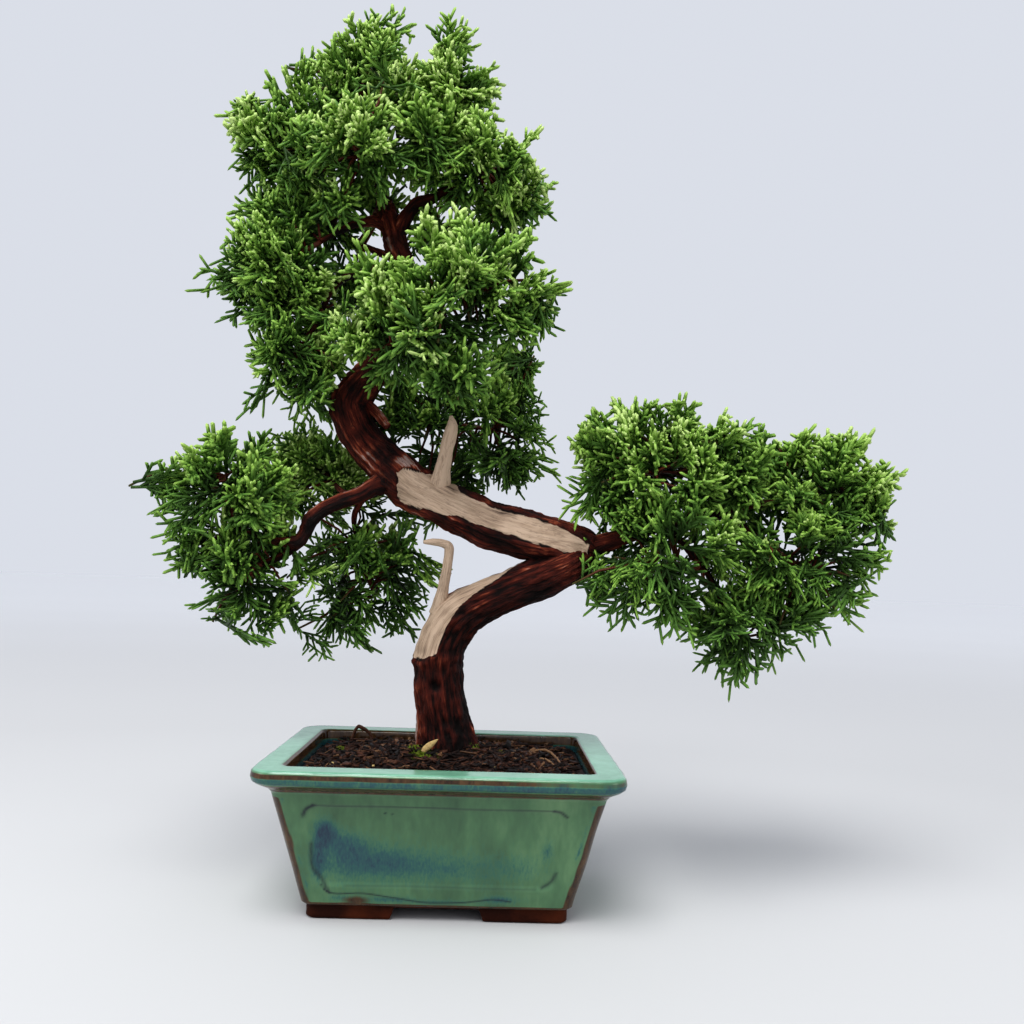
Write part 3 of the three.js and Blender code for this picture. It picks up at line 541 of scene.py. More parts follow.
@dataclass
class Limb:
    """A limb of the tree, from rows of x, y, z and thickness, with one frame a row that doesn't twist."""

    controls: tuple[tuple[float, float, float, float], ...]
    row_length: float = 1.2
    columns: int = 16

    def __post_init__(self) -> None:
        """Works out the limb's centre line, thickness and directions."""
        controls = np.array(self.controls, float)
        length = np.linalg.norm(np.diff(controls[:, :3], axis=0), axis=1).sum()
        rows = max(4, int(length / self.row_length))
        fine = smooth_path(controls, rows)
        self.centre, self.radius = fine[:, :3], fine[:, 3] / 2
        self.tangent = unit(np.gradient(self.centre, axis=0))
        self.along = np.concatenate([[0], np.cumsum(np.linalg.norm(np.diff(self.centre, axis=0), axis=1))])
        steady = np.eye(3)[np.abs(self.tangent).max(0).argmin()]
        self.across = unit(steady - (self.tangent @ steady)[:, None] * self.tangent)
        self.beside = np.cross(self.tangent, self.across)
        self.turn = np.linspace(0, 2 * math.pi, self.columns, endpoint=False)

    def outward(self) -> np.ndarray:
        """The direction out of the limb at each row and column."""
        return around(self.turn, self.across, self.beside)

    def rings(self, relief: np.ndarray | float = 0.0) -> np.ndarray:
        """The limb's surface: its centre plus the radius and the relief along the outward direction."""
        return self.centre[:, None] + (self.radius[:, None] + relief)[..., None] * self.outward()

    def grain(self) -> np.ndarray:
        """Where each point lies in the grain: round the limb in millimetres, and a sixth of the way along it."""
        round_limb = np.maximum(self.radius, 1.0)[:, None]
        flat = [np.cos(self.turn) * round_limb, np.sin(self.turn) * round_limb,
                np.broadcast_to(self.along[:, None] / 6, (len(self.along), self.columns))]
        return np.stack(flat, -1)


@dataclass
class StrippedFace:
    """A stretch of limb with its bark cut away: between two lines over x, seen from the front."""

    xs: tuple[float, ...]
    tops: tuple[float, ...]
    bottoms: tuple[float, ...]
    ragged: float = 1.0

    def depth(self, points: np.ndarray, outward: np.ndarray) -> np.ndarray:
        """How far inside the stripped stretch each point lies, in millimetres, and below zero outside it.

        It is the least of the distances to the top line, the bottom line, both ends and the limb's own back.

        Args:
            points: Places on the limb.
            outward: The limb's outward direction at each place.

        Returns:
            One distance for each place.
        """
        x, z = points[..., 0], points[..., 2]
        top = np.interp(x, self.xs, self.tops)
        bottom = np.interp(x, self.xs, self.bottoms)
        uneven = self.ragged * (0.55 * waviness(points, 15.0, 4) + 0.25 * waviness(points, 4.0, 6))
        front = (0.45 - outward[..., 1]) * 8
        ends = np.minimum(x - self.xs[0], self.xs[-1] - x) + 2 * uneven
        return np.minimum.reduce([0.85 * (top - z) + uneven, 0.85 * (z - bottom) + uneven, ends, front])


@dataclass
class Wood:
    """The trunk, its branches and its dead stubs.

    A limb is rows of x, y, z and thickness. Gnarls are rows of x, y, z, size and lift, sunk where it is below zero,
    and pale patches are rows of x, y, z, size and strength, where the bark is drawn paler.
    """

    lower: tuple = (
        (1, 13, 34, 17), (0.5, 12.5, 50, 27), (0, 12, 62, 28.5), (-1.5, 12, 72, 25.5), (-3.5, 11.5, 83, 24),
        (-5.5, 10.5, 97, 23.5), (-5, 9, 109, 23.5), (-1, 8, 119, 23), (5.5, 6, 126.5, 22), (15.5, 4, 132.5, 20.5),
        (27, 2, 138, 19.5), (39, 0, 143, 19.5), (50, -3, 148.5, 19), (58, -5, 153, 17), (63, -6, 156, 11),
    )
    upper: tuple = (
        (65, -6, 154, 9), (61, -5, 157, 16), (54, -4, 159.5, 18.5), (46.5, -2, 161, 20), (36.5, 0, 162.5, 21.5),
        (26, 2, 165, 22), (17.5, 3, 167, 22), (8, 5, 171, 21), (-1, 6, 175, 20.5), (-11.5, 8, 180, 20),
        (-21, 10, 185, 20.5), (-28.5, 12, 191, 21), (-36, 14, 197.5, 20), (-44, 15, 205, 18.5),
        (-50, 15, 214, 18.5), (-52.5, 15, 223, 19), (-49, 15, 231, 17.5), (-43, 15, 239.5, 15),
        (-36, 15, 252, 13.5), (-30.5, 15, 267, 12.5), (-27.5, 15, 281, 12), (-29.5, 15, 291, 11.5),
        (-33, 15, 300, 11), (-35.5, 15, 310, 10.5), (-38.5, 14.5, 317, 9), (-42, 12, 320, 5),
    )
    stubs: tuple = (
        ((-8.5, 6, 182, 11), (-7.3, 4, 187, 9.6), (-6.4, 2, 192.2, 7.6), (-5, 0, 200.4, 6.4),
         (-3.6, -1.5, 206.7, 6.4), (-2.6, -2.5, 211, 5.8), (-2.6, -3, 213.9, 3.8), (-3.2, -3.5, 216.8, 1.2)),
        ((-5.8, 8, 126, 9.5), (-5.3, 6, 130.5, 7.4), (-4.3, 4, 136.6, 5.4), (-2.8, 1, 145.8, 4.6),
         (-1.9, 0, 153.2, 4.3), (-2.2, -0.5, 156.6, 4.4), (-4.8, -1, 158, 3.7), (-9.3, -2, 158.4, 3.2),
         (-13.6, -3, 158.2, 1.6)),
        ((-47, 15, 226, 5.4), (-41.9, 12, 222.4, 4.8), (-36.6, 8, 216.6, 4.4), (-33.2, 5, 212.2, 3.4)),
    )
    branches: dict[str, tuple] = field(default_factory=lambda: {
        "left": ((-26, 11, 190, 9), (-37.9, 6, 184, 8), (-44.3, 3, 179.6, 7.4), (-52.8, 0, 175.8, 7),
                 (-60, -2, 171.6, 6.8), (-64.8, -4, 166.4, 6.4), (-67.2, -5, 160.3, 5.6), (-70.4, -6, 156.2, 5),
                 (-79.5, -9, 156.4, 3.8), (-90, -11, 160, 2.4)),
        "left_low": ((-69, -5.8, 157, 4.8), (-76.9, -4, 150, 3.8), (-86, -3, 146, 2.4)),
        "back_left": ((-48, 1.5, 177.5, 4), (-56.3, 18, 182.8, 3), (-64, 34, 189.4, 2.4)),
        "under_left": ((-40, 5, 182.5, 3.6), (-48.5, 16, 170.8, 2.8), (-48.4, 30, 156, 2.2)),
        "right": ((55, -5, 156, 11), (72, -9, 161.4, 8.4), (84, -12, 166, 7), (97, -10, 170, 5.6),
                  (114.8, -6, 175.4, 4.4), (134.3, -2, 180, 3.4), (160, 2, 184.5, 2.4)),
        "right_up": ((82, -11.5, 165.5, 5), (87.9, -14, 176.5, 3.4), (89.9, -12, 187, 2.4)),
        "right_back": ((108, -7, 173, 4), (118, 6, 178, 3.2), (128, 15, 184, 2.4)),
        "right_low": ((94, -10.5, 169, 4.6), (104, -14, 160.5, 3.4), (108, -15, 154, 2.4)),
        "right_mid": ((119, -5, 176.3, 3.8), (133, -6, 169.6, 3), (143, -5, 163, 2.4)),
        "right_bottom": ((103, -13.5, 161.5, 3.2), (116, -10, 147.4, 2.8), (123, -8, 134, 2.2)),
        "front": ((-29, 14, 270, 6.5), (-24.2, 0, 267, 4.6), (-18.5, -12, 265, 3.6), (-11, -24, 263, 2.6)),
        "front_left": ((-37, 13, 248, 4), (-36, 2, 246, 3.2), (-33, -8, 244.5, 2.4)),
        "back_right": ((-50, 16, 219, 6), (-42.6, 30, 220.6, 4), (-31.2, 40, 222, 3.2), (-16, 43.5, 222.2, 2.4)),
        "crown_low_left": ((-29.3, 15, 289, 6.5), (-38, 12, 289.4, 5), (-48.5, 9, 286.3, 4.2),
                           (-56, 7, 282.4, 3.6), (-62, 6, 276, 3), (-66, 6.5, 267, 2.4)),
        "crown_up_left": ((-35.5, 15, 309, 6), (-43.8, 12, 312, 4.6), (-52.8, 9, 309.4, 3.8),
                          (-60.3, 7, 304.3, 3), (-68, 6, 299, 2.4)),
        "crown_back": ((-31, 15, 296, 5), (-41, 24, 301, 3.8), (-52, 32, 308, 2.6)),
        "crown_up_right": ((-34, 15, 304, 8), (-29.5, 12, 314, 6.4), (-24.2, 9, 320, 6), (-17.4, 7, 322, 5.4),
                           (-11.2, 5, 325, 4.2), (-4, 4, 329, 2.6)),
        "apex": ((-37, 15, 313, 7), (-42.4, 18, 330.5, 5.4), (-47.5, 19, 346, 4.6), (-51.6, 19, 363, 3.4),
                 (-53.4, 18, 376, 2.4)),
        "apex_left": ((-47.5, 19, 346, 4), (-61, 19, 349.5, 3.2), (-76, 17.5, 345.5, 2.2)),
        "apex_right": ((-51, 19, 361, 3.6), (-37, 17, 366, 3), (-26, 14, 369, 2.2)),
        "centre_front": ((-43, 18, 332, 3.6), (-45, 6, 331, 2.8), (-46.5, 0, 331, 2.2)),
    })
    lower_face: StrippedFace = field(default_factory=lambda: StrippedFace(
        xs=(-22, -12, -6, -4, -2, 1, 5, 10, 17.5, 26, 34, 40),
        tops=(175,) * 12,
        bottoms=(104, 105, 107, 114, 119, 125, 130.5, 135, 140, 146.5, 152, 158)))
    upper_face: StrippedFace = field(default_factory=lambda: StrippedFace(
        xs=(-27, -24, -21, -17, -13, -9, -5, -2, 2, 7, 12, 17, 23, 30, 37, 44, 51, 57, 62),
        tops=(190, 191.8, 191.6, 190.6, 189.6, 191, 189.5, 187, 182.8, 180, 177.3, 175.1, 173.1, 172.1, 170.2, 167.8,
              164.8, 161.9, 159.5),
        bottoms=(179, 176.9, 175.6, 174.5, 173.5, 172.6, 171.8, 171.2, 170.4, 168.6, 166.8, 165, 162.9, 161, 159.1,
                 157.3, 155.5, 154.1, 153.3)))
    gnarls: tuple = (
        (-31, 4, 196, 6, 1.3), (-31.6, 3, 187, 6, 1.6), (-32.4, 4, 180, 5, 1.2), (-36, 5, 199, 6, 1.1),
        (-26, 2, 176, 4, 0.8), (-6.3, -1.2, 92, 2.3, -1.9), (-12, -2, 106, 3, -0.5), (-57, 10, 222, 6, 1.2),
        (-50, 6, 230, 5, 0.9), (-40.7, 12, 319.5, 6, 2.4), (-35.7, 8, 302, 6, 1.4), (-32.8, 8, 287.6, 6, 1.2),
        (-30, 12, 272, 5, 0.9), (46, -2, 150, 6, 0.6), (57, -8, 150, 5, 0.8), (-52, 4, 178, 4, 0.6),
        (-66, -6, 166, 4, 0.8), (-70, -8, 156, 4, 0.8),
    )
    pale_patches: tuple = (
        (-21.3, 4, 195.5, 5, 1.7), (-27, 5, 194.5, 4, 1.3), (-14.5, 3, 193.5, 4, 1.7), (-34, 8, 303, 12, 0.5),
        (-40, 12, 318, 8, 0.7), (30, -5, 176, 5, 0.6), (45, -6, 171, 5, 0.7), (55, -10, 166, 6, 0.8),
        (48, -10, 153, 8, 0.35), (-38, 2, 206, 12, 0.5), (-44, 2, 222, 12, 0.45), (-40, 4, 238, 10, 0.4),
    )
    recess: float = 0.9
    callus: float = 0.9
    # Painted light and shade: how much lighter the bark is drawn on its left side and darker on its right
    left_lit_right_shaded: float = 0.6
    knot_dark: float = 0.55
    # How dark pits are drawn, as painted shade in their hollows
    pit_shade: float = 0.9
    stout: float = 7.0

    def bark_relief(self, limb: Limb, depth: float, seed: int) -> np.ndarray:
        """Ribs and cracks that follow the limb: waves read on the grain, with creases where they cross zero.

        Args:
            limb: The limb.
            depth: Height of the strips in millimetres.
            seed: Chooses the waves.

        Returns:
            Height in millimetres at each row and column.
        """
        grain = limb.grain()
        strips = np.abs(waviness(grain, 5.0, seed)) ** 0.6 - 0.55
        flakes = np.abs(waviness(grain * (1, 1, 2), 2.2, seed + 1)) ** 0.7 - 0.5
        swell = waviness(limb.rings(), 17.0, seed + 2) + 0.5 * waviness(limb.rings(), 7.0, seed + 3)
        return depth * (strips + 0.5 * flakes) + 0.045 * limb.radius[:, None] * swell

    def gnarl_height(self, rings: np.ndarray) -> tuple[np.ndarray, np.ndarray]:
        """Knots on the bark: round swellings or pits, rough inside, and how dark each place is drawn for them, where a
        pit's dark is painted shade in its hollow.
        """
        height, dark = np.zeros(rings.shape[:2]), np.zeros(rings.shape[:2])
        for x, y, z, size, lift in self.gnarls:
            share = near(np.linalg.norm(rings - (x, y, z), axis=-1), size)
            height += lift * share * (1 + 0.8 * waviness(rings, 2.6, int(z)))
            dark = np.maximum(dark, (self.pit_shade if lift < 0 else self.knot_dark) * share)
        return height, dark

    def paleness(self, rings: np.ndarray) -> np.ndarray:
        """How much paler the bark is drawn at each place: e^(-(distance / size)^2) round each listed place."""
        return sum(strength * near(np.linalg.norm(rings - (x, y, z), axis=-1), size)
                   for x, y, z, size, strength in self.pale_patches)

    def add_limb(self, skin: Skin, limb: Limb, face: StrippedFace | None, depth: float, seed: int,
                 top_highlight: float = 0.0) -> None:
        """Adds one limb: bark relief outside the stripped face, a hollow with a rolled bark edge inside it.

        Args:
            skin: What the limb is added to.
            limb: The limb.
            face: Its stripped face, or None.
            depth: Height of its bark strips in millimetres.
            seed: Chooses the relief.
            top_highlight: How much its upper side is drawn lighter and more orange, as a painted highlight.
        """
        rings = limb.rings()
        relief = self.bark_relief(limb, depth, seed)
        knots, dark = self.gnarl_height(rings)
        inside = np.full(relief.shape, -9.0)
        if face is not None:
            inside = face.depth(rings, limb.outward())
        bare = smooth_step(-0.5, 0.5, inside)
        hollow = self.recess * smooth_step(-0.2, 2.2, inside)
        rolled = self.callus * near(inside + 1.5, 1.3) * (1 + 0.6 * waviness(rings, 5.0, seed + 8))
        fibres = 0.1 * waviness(limb.grain(), 1.8, seed + 5) + 0.35 * waviness(rings, 9.0, seed + 6)
        height = (1 - bare) * (relief + knots) + bare * fibres - hollow + rolled
        # Painted shadow: a near-black line along the bark's edge beside the stripped wood
        edge_shadow = 0.85 * near(inside + 0.1, 0.45)
        burnt = np.maximum(dark * (1 - bare), edge_shadow * smooth_step(-0.7, 0.7, waviness(rings, 9.0, seed + 7)))
        # Painted light: the upper side is drawn lighter and more orange as a painted highlight, the left side lighter
        # and the right side darker as painted light and shade
        paled_and_lit = self.paleness(rings) + top_highlight * smooth_step(0.0, 0.8, limb.outward()[..., 2])
        paled_and_lit = paled_and_lit - self.left_lit_right_shaded * limb.outward()[..., 0]
        # The relief tone follows the bark's height, so raised strips get a painted highlight and cracks painted shade
        skin.sleeve(limb.rings(height), grain=limb.grain(), stripped=bare, burnt=burnt,
                    relief=(1 - bare) * (relief / max(depth, 0.1) + paled_and_lit) + 0.6 * bare * waviness(rings, 12.0, seed))

    def add_stub(self, skin: Skin, stub: tuple, seed: int) -> None:
        """Adds a dead stub: bare, finely grained, a little gnarled, with a worn end."""
        limb = Limb(stub, row_length=0.6, columns=28)
        gnarl = 0.06 * limb.radius[:, None] * waviness(limb.rings(), 9.0, seed)
        splits = 0.14 * (np.abs(waviness(limb.grain() * (1, 1, 2), 2.0, seed + 1)) ** 0.5 - 0.6)
        skin.sleeve(limb.rings(gnarl + splits), grain=limb.grain(), stripped=1.0, burnt=0.0,
                    relief=0.5 + 1.5 * splits + 0.2 * waviness(limb.rings(), 8.0, seed + 2))

    def build(self) -> bpy.types.Object:
        """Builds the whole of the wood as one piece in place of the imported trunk."""
        skin = Skin()
        self.add_limb(skin, Limb(self.lower, 1.0, 96), self.lower_face, 0.95, 11)
        self.add_limb(skin, Limb(self.upper, 1.0, 84), self.upper_face, 0.9, 21)
        for number, stub in enumerate(self.stubs[:2]):
            self.add_stub(skin, stub, 31 + number)
        self.add_limb(skin, Limb(self.stubs[2], 0.8, 16), None, 0.3, 33, 1.2)
        for number, (name, controls) in enumerate(self.branches.items()):
            is_stout = controls[0][3] > self.stout
            limb = Limb(controls, 1.0 if is_stout else 1.3, 20 if is_stout else 12)
            self.add_limb(skin, limb, None, 0.45 if is_stout else 0.3, 41 + number, 0.9 if name == "left" else 0.2)
        return skin.piece("trunk_and_branches", JuniperWood().material(), "bark", ("trunk",))


@dataclass(frozen=True)
class Growth:
    """How one kind of spray grows. Lengths and thickness are millimetres, angles are degrees."""

    main: float
    sides: int
    side_length: float
    side_angle: float
    fork_length: float
    fork_angle: float
    thickness: float
    spread: float
    lift: float
    climb: float
    tuft: int
    splay: float


class Habit(Enum):
    """The three ways the sprays grow: plump and upright above, level at the sides, long and thin below."""

    UPRIGHT = Growth(main=19, sides=8, side_length=10, side_angle=40, fork_length=4.6, fork_angle=40,
                     thickness=1.7, spread=0.5, lift=1.5, climb=0.4, tuft=3, splay=0.5)
    LEVEL = Growth(main=21, sides=7, side_length=11.5, side_angle=39, fork_length=5.6, fork_angle=38,
                   thickness=1.5, spread=0.35, lift=1.0, climb=0.12, tuft=3, splay=0.52)
    HANGING = Growth(main=24, sides=6, side_length=13.5, side_angle=41, fork_length=7.0, fork_angle=38,
                     thickness=1.25, spread=0.3, lift=-1.5, climb=-0.2, tuft=2, splay=0.6)


class Section(Enum):
    """How finely a cord is drawn: its rings' places along it, their widths as shares, and their sides."""

    MIDDLE = ((0.0, 0.5, 0.93), (0.9, 1.0, 0.84), 4)
    SIDE = ((0.0, 0.55, 0.93), (0.92, 1.0, 0.86), 3)
    FORK = ((0.0, 0.88), (0.96, 0.9), 3)


class Spray:
    """One spray of a habit: a middle cord, side cords leaving it by turns, and blunt forks along them."""

    TIP_LENGTH = 1.7
    BEND = 0.08

    def __init__(self, growth: Growth, seed: int) -> None:
        """Grows the spray from its base at zero along +Z, spread mostly in the XZ plane.

        Args:
            growth: Its habit's sizes.
            seed: Chooses its small differences.
        """
        random = np.random.default_rng(seed)
        self.growth = growth
        number = growth.sides
        share = 0.12 + 0.8 * (np.arange(number) + random.uniform(0.1, 0.9, number)) / number
        turn = math.pi * (np.arange(number) % 2) + growth.spread * random.normal(size=number)
        angle = np.radians(growth.side_angle) * random.uniform(0.8, 1.25, number)
        out = np.stack([np.cos(turn), np.sin(turn), 0 * turn], -1)
        side_way = np.cos(angle)[:, None] * UP + np.sin(angle)[:, None] * out
        side_start = share[:, None] * growth.main * UP
        side_length = growth.side_length * (1.1 - 0.6 * share) * random.uniform(0.8, 1.2, number)
        counts = np.where(side_length > 0.75 * growth.side_length, 3, 2)
        base, way, length = np.zeros((1, 3)), UP[None], np.array([growth.main])
        thick = growth.thickness / 2
        parts = [
            self.cords(base, way, length, thick, Section.MIDDLE, random),
            self.cords(side_start, side_way, side_length, 1.02 * thick, Section.SIDE, random),
            self.cords(*self.forks(side_start, side_way, side_length, counts, random), thick, Section.FORK, random),
            self.cords(*self.forks(base, way, length, np.array([3]), random), thick, Section.FORK, random),
        ]
        sizes = np.cumsum([0] + [len(part[0]) for part in parts])
        self.points = np.vstack([part[0] for part in parts])
        self.quads = np.vstack([part[1] + size for part, size in zip(parts, sizes)])
        self.triangles = np.vstack([part[2] + size for part, size in zip(parts, sizes)])
        self.tipward = np.concatenate([part[3] for part in parts])
        self.reach = np.clip(np.linalg.norm(self.points, axis=1) / growth.main, 0, 1.1)

    def forks(self, start: np.ndarray, way: np.ndarray, length: np.ndarray, counts: np.ndarray,
              random: np.random.Generator) -> tuple[np.ndarray, np.ndarray, np.ndarray]:
        """Forks on cords: spaced over the outer part, leaning to one side and then the other in the spray's plane.

        Args:
            start: Where each cord starts.
            way: Each cord's direction.
            length: Each cord's length.
            counts: Forks on each cord.
            random: The source of small differences.

        Returns:
            Start, direction and length of every fork.
        """
        cord = np.repeat(np.arange(len(start)), counts)
        step = np.arange(len(cord)) - np.repeat(np.cumsum(counts) - counts, counts)
        share = 0.35 + 0.55 * (step + random.uniform(0.1, 0.9, len(step))) / counts[cord]
        normal = unit(np.array([0, 1.0, 0]) + 0.55 * self.growth.spread * random.normal(size=(len(step), 3)))
        lean = unit(np.cross(way[cord], normal)) * np.where(step % 2, -1, 1)[:, None]
        angle = np.radians(self.growth.fork_angle) * random.uniform(0.8, 1.35, len(step))
        fork_way = np.cos(angle)[:, None] * way[cord] + np.sin(angle)[:, None] * lean
        fork_start = start[cord] + (share * length[cord])[:, None] * way[cord]
        taper = np.minimum(1.0, 0.35 + length[cord] / self.growth.side_length)
        return fork_start, unit(fork_way), self.growth.fork_length * taper * random.uniform(0.7, 1.3, len(step))

    def cords(self, start: np.ndarray, way: np.ndarray, length: np.ndarray, radius: float, section: Section,
              random: np.random.Generator) -> tuple[np.ndarray, np.ndarray, np.ndarray, np.ndarray]:
        """Cords with blunt ends: rings square to each cord, each cord bent a little, closed below, one point on top.

        A ring of three sides is drawn a fifth wider than its cord, so that it looks as wide from any side.

        Args:
            start: Where each cord starts.
            way: Each cord's direction.
            length: Each cord's length.
            radius: Radius of the cords.
            section: How finely they are drawn.
            random: The source of small differences.

        Returns:
            Points, quads, triangles, and how new the growth is at each point: e^(-distance from the tip).
        """
        places, shares, columns = section.value
        places, count, rings = np.array(places), len(start), len(places)
        radius = radius * (1.2 if columns == 3 else 1.08)
        across = unit(np.cross(way, random.normal(size=(count, 3))))
        beside = np.cross(way, across)
        bend = self.BEND * length[:, None] * random.normal(size=(count, 3))
        widths = np.array(shares) * radius * random.uniform(0.88, 1.12, (count, rings))
        line = start[:, None] + (places * length[:, None])[..., None] * way[:, None]
        line = line + (places**2)[None, :, None] * bend[:, None]
        points = line[:, :, None] + widths[..., None, None] * around(turns(columns), across, beside)[:, None]
        tips = start + (length + 0.35 * radius)[:, None] * way + bend
        each = rings * columns + 1
        step = np.arange(count)[:, None, None] * each
        points = np.concatenate([points.reshape(count, -1, 3), tips[:, None]], 1)
        last = (rings - 1) * columns + np.arange(columns)
        top = np.stack([last, np.roll(last, -1), np.full(columns, rings * columns)], -1)
        below = np.stack([np.zeros(columns - 2, int), np.arange(2, columns), np.arange(1, columns - 1)], -1)
        newness = np.exp(-length[:, None] * (1 - np.append(np.repeat(places, columns), 1.0)) / self.TIP_LENGTH)
        quads = (grid_faces(rings, columns)[None] + step).reshape(-1, 4)
        triangles = (np.vstack([top, below])[None] + step).reshape(-1, 3)
        return points.reshape(-1, 3), quads, triangles, newness.ravel()


@dataclass(frozen=True)
class Cloud:
    """One cloud of sprays: its branch, its centre and half-sizes, how bright it is drawn, partly for its growth and
    partly as painted light and shade for where it sits, and how closely it is filled.

    Sprays hang where their level, from -1 below to 1 on top, is less than droop. Each row of lobes is the centre and
    the half-size of a smaller bulge, which shapes the outline or closes a gap to the next cloud.
    """

    name: str
    branch: str
    centre: tuple[float, float, float]
    reach: tuple[float, float, float]
    # Lifts or lowers the cloud's green: partly its growth, partly painted light and shade for how lit the cloud sits
    vigour_and_light: float = 0.0
    fill: float = 1.0
    droop: float = -0.35
    lobes: tuple[tuple[float, float, float, float], ...] = ()


@dataclass
class Foliage:
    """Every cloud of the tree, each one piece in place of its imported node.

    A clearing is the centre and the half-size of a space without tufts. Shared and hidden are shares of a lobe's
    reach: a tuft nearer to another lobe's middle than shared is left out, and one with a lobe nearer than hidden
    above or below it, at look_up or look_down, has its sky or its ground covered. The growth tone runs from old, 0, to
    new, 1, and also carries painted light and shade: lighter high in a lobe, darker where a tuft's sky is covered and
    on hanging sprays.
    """

    clouds: tuple[Cloud, ...] = (
        Cloud("apex", "apex", (-52, 18, 388), (24, 22, 21), 0.05, 1.1, -0.35,
              ((-72, 14, 389, 4), (-35, 16, 407, 5), (-65, 12, 371, 12), (-41, 6, 370, 12))),
        Cloud("upper_right", "apex_right", (-12, 12, 377), (24, 22, 20), 0.06, 1.15, -0.35,
              ((-29, 10, 376, 12), (-4, 12, 393, 5), (3, 12, 384, 7))),
        Cloud("upper_left", "apex_left", (-90, 15, 350), (26, 23, 23), 0.02, 1.0, -0.35,
              ((-79, 10, 364, 12), (-79, 2, 333, 13), (-101, 10, 362, 10))),
        Cloud("upper_middle", "centre_front", (-49, -12, 333), (25, 20, 23), 0.05, 1.1, -0.35,
              ((-44, -4, 352, 15), (-32, -2, 359, 12), (-60, -6, 316, 11))),
        Cloud("crown_left", "crown_back", (-70, 36, 322), (24, 21, 20), -0.06, 0.8, -0.35,
              ((-53, 34, 288, 13), (-100, 28, 320, 12), (-59, 36, 335, 10), (-43, 36, 331, 9))),
        Cloud("right_shoulder", "crown_up_right", (7, 6, 335), (32, 27, 25), 0.05, 1.0, -0.35,
              ((-17, -6, 345, 15), (-14, 8, 358, 12), (-17, 20, 307, 11), (16, 10, 319, 12), (-17, -8, 338, 13),
               (24, 6, 324, 10), (27, 6, 337, 9))),
        Cloud("left_shoulder", "crown_up_left", (-91, 5, 287), (27, 28, 25), 0.0, 0.95, -0.35,
              ((-87, 6, 308, 12), (-77, 6, 280, 13), (-78, 14, 308, 11), (-106, 5, 275, 11))),
        Cloud("left_skirt", "crown_low_left", (-79, 9, 242), (26, 26, 26), 0.0, 0.7, 0.1,
              ((-84, 8, 264, 14), (-65, 8, 261, 12), (-65, 8, 239, 12), (-76, 4, 228, 9), (-89, 4, 256, 12),
               (-66, 5, 228, 9), (-93, 5, 243, 8))),
        Cloud("front", "front", (4, -30, 265), (37, 27, 35), 0.02, 0.95, -0.35,
              ((-11, -44, 246, 13), (-6, -34, 226, 14), (-4, -42, 268, 13), (-37, -24, 262, 15), (25, -20, 262, 8))),
        Cloud("front_left", "front_left", (-30, -22, 243), (22, 21, 21), 0.03, 1.0, -0.35,
              ((-48, -14, 252, 10),)),
        Cloud("back", "back_right", (7, 42, 220), (44, 27, 43), -0.06, 0.72, 0.1,
              ((9, 22, 226, 14), (20, 28, 198, 14), (-34, 32, 231, 11), (-29, 34, 217, 11), (-35, 32, 208, 8),
               (24, 30, 251, 12), (-12, 34, 186, 12), (-20, 34, 210, 12), (18, 28, 188, 9))),
        Cloud("far_left", "left", (-100, -8, 178), (33, 30, 27), -0.06, 0.78, -0.1,
              ((-88, -20, 173, 15), (-91, -6, 195, 9), (-127, -8, 183, 5), (-118, -8, 161, 10), (-116, -6, 154, 11),
               (-108, -6, 190, 9), (-79, -2, 155, 10))),
        Cloud("far_left_skirt", "left_low", (-94, -2, 139), (26, 27, 22), -0.03, 0.55, 0.5,
              ((-99, -12, 149, 13), (-112, -4, 140, 10), (-94, -4, 140, 13), (-80, -2, 124, 10), (-105, -4, 127, 9),
               (-93, -6, 118, 8))),
        Cloud("rear_left", "back_left", (-69, 45, 195), (28, 26, 26), 0.08, 0.9, -0.3,
              ((-81, 38, 203, 12), (-55, 38, 188, 12), (-83, 30, 177, 11))),
        Cloud("rear_hanging", "under_left", (-43, 38, 139), (36, 28, 29), -0.06, 0.55, 0.5,
              ((-67, 14, 146, 12), (-50, 20, 153, 13), (-30, 30, 154, 12), (-55, 26, 127, 13), (-35, 34, 128, 11),
               (-18, 38, 140, 8), (-64, 20, 117, 9), (-46, 28, 115, 8), (-60, 32, 170, 9), (-43, 34, 169, 9),
               (-28, 36, 166, 9))),
        Cloud("right_near", "right_up", (92, -6, 196), (41, 37, 32), -0.02, 0.9, -0.35,
              ((118, -14, 205, 15), (83, -20, 173, 14), (126, -10, 192, 16), (70, -14, 184, 13), (80, -6, 210, 12),
               (108, -4, 214, 12), (72, -16, 171, 9), (63, -8, 187, 8))),
        Cloud("right_back", "right_back", (140, 26, 195), (28, 24, 27), -0.04, 0.55, -0.2),
        Cloud("right_far", "right", (175, 5, 192), (26, 27, 24), -0.02, 0.8, -0.2,
              ((160, -8, 182, 15), (174, -2, 175, 13), (194, 2, 178, 10), (156, 6, 204, 11), (193, 4, 198, 9))),
        Cloud("right_low_near", "right_low", (100, -16, 152), (39, 33, 32), -0.02, 0.62, 0.4,
              ((67, -14, 144, 11), (88, -12, 136, 12), (83, -22, 153, 13), (104, -24, 153, 14),
               (106, -18, 132, 10), (80, -14, 135, 10))),
        Cloud("right_low_far", "right_mid", (157, -4, 154), (38, 35, 31), -0.02, 0.62, 0.4,
              ((137, -18, 155, 14), (174, -4, 153, 13), (158, -6, 136, 11), (184, -2, 158, 10),
               (176, -4, 138, 10), (160, -8, 126, 9))),
        Cloud("right_tip", "right_bottom", (130, -6, 124), (29, 28, 23), -0.02, 0.62, 0.5,
              ((140, -10, 138, 15), (126, -8, 117, 11), (114, -10, 124, 10), (144, -6, 126, 10))),
    )
    clearings: tuple[tuple[float, ...], ...] = (
        (-40, -24, 296, 20, 34, 20), (-42, 0, 213, 14, 22, 10), (-2, -16, 218, 12, 26, 20))
    variants: int = 10
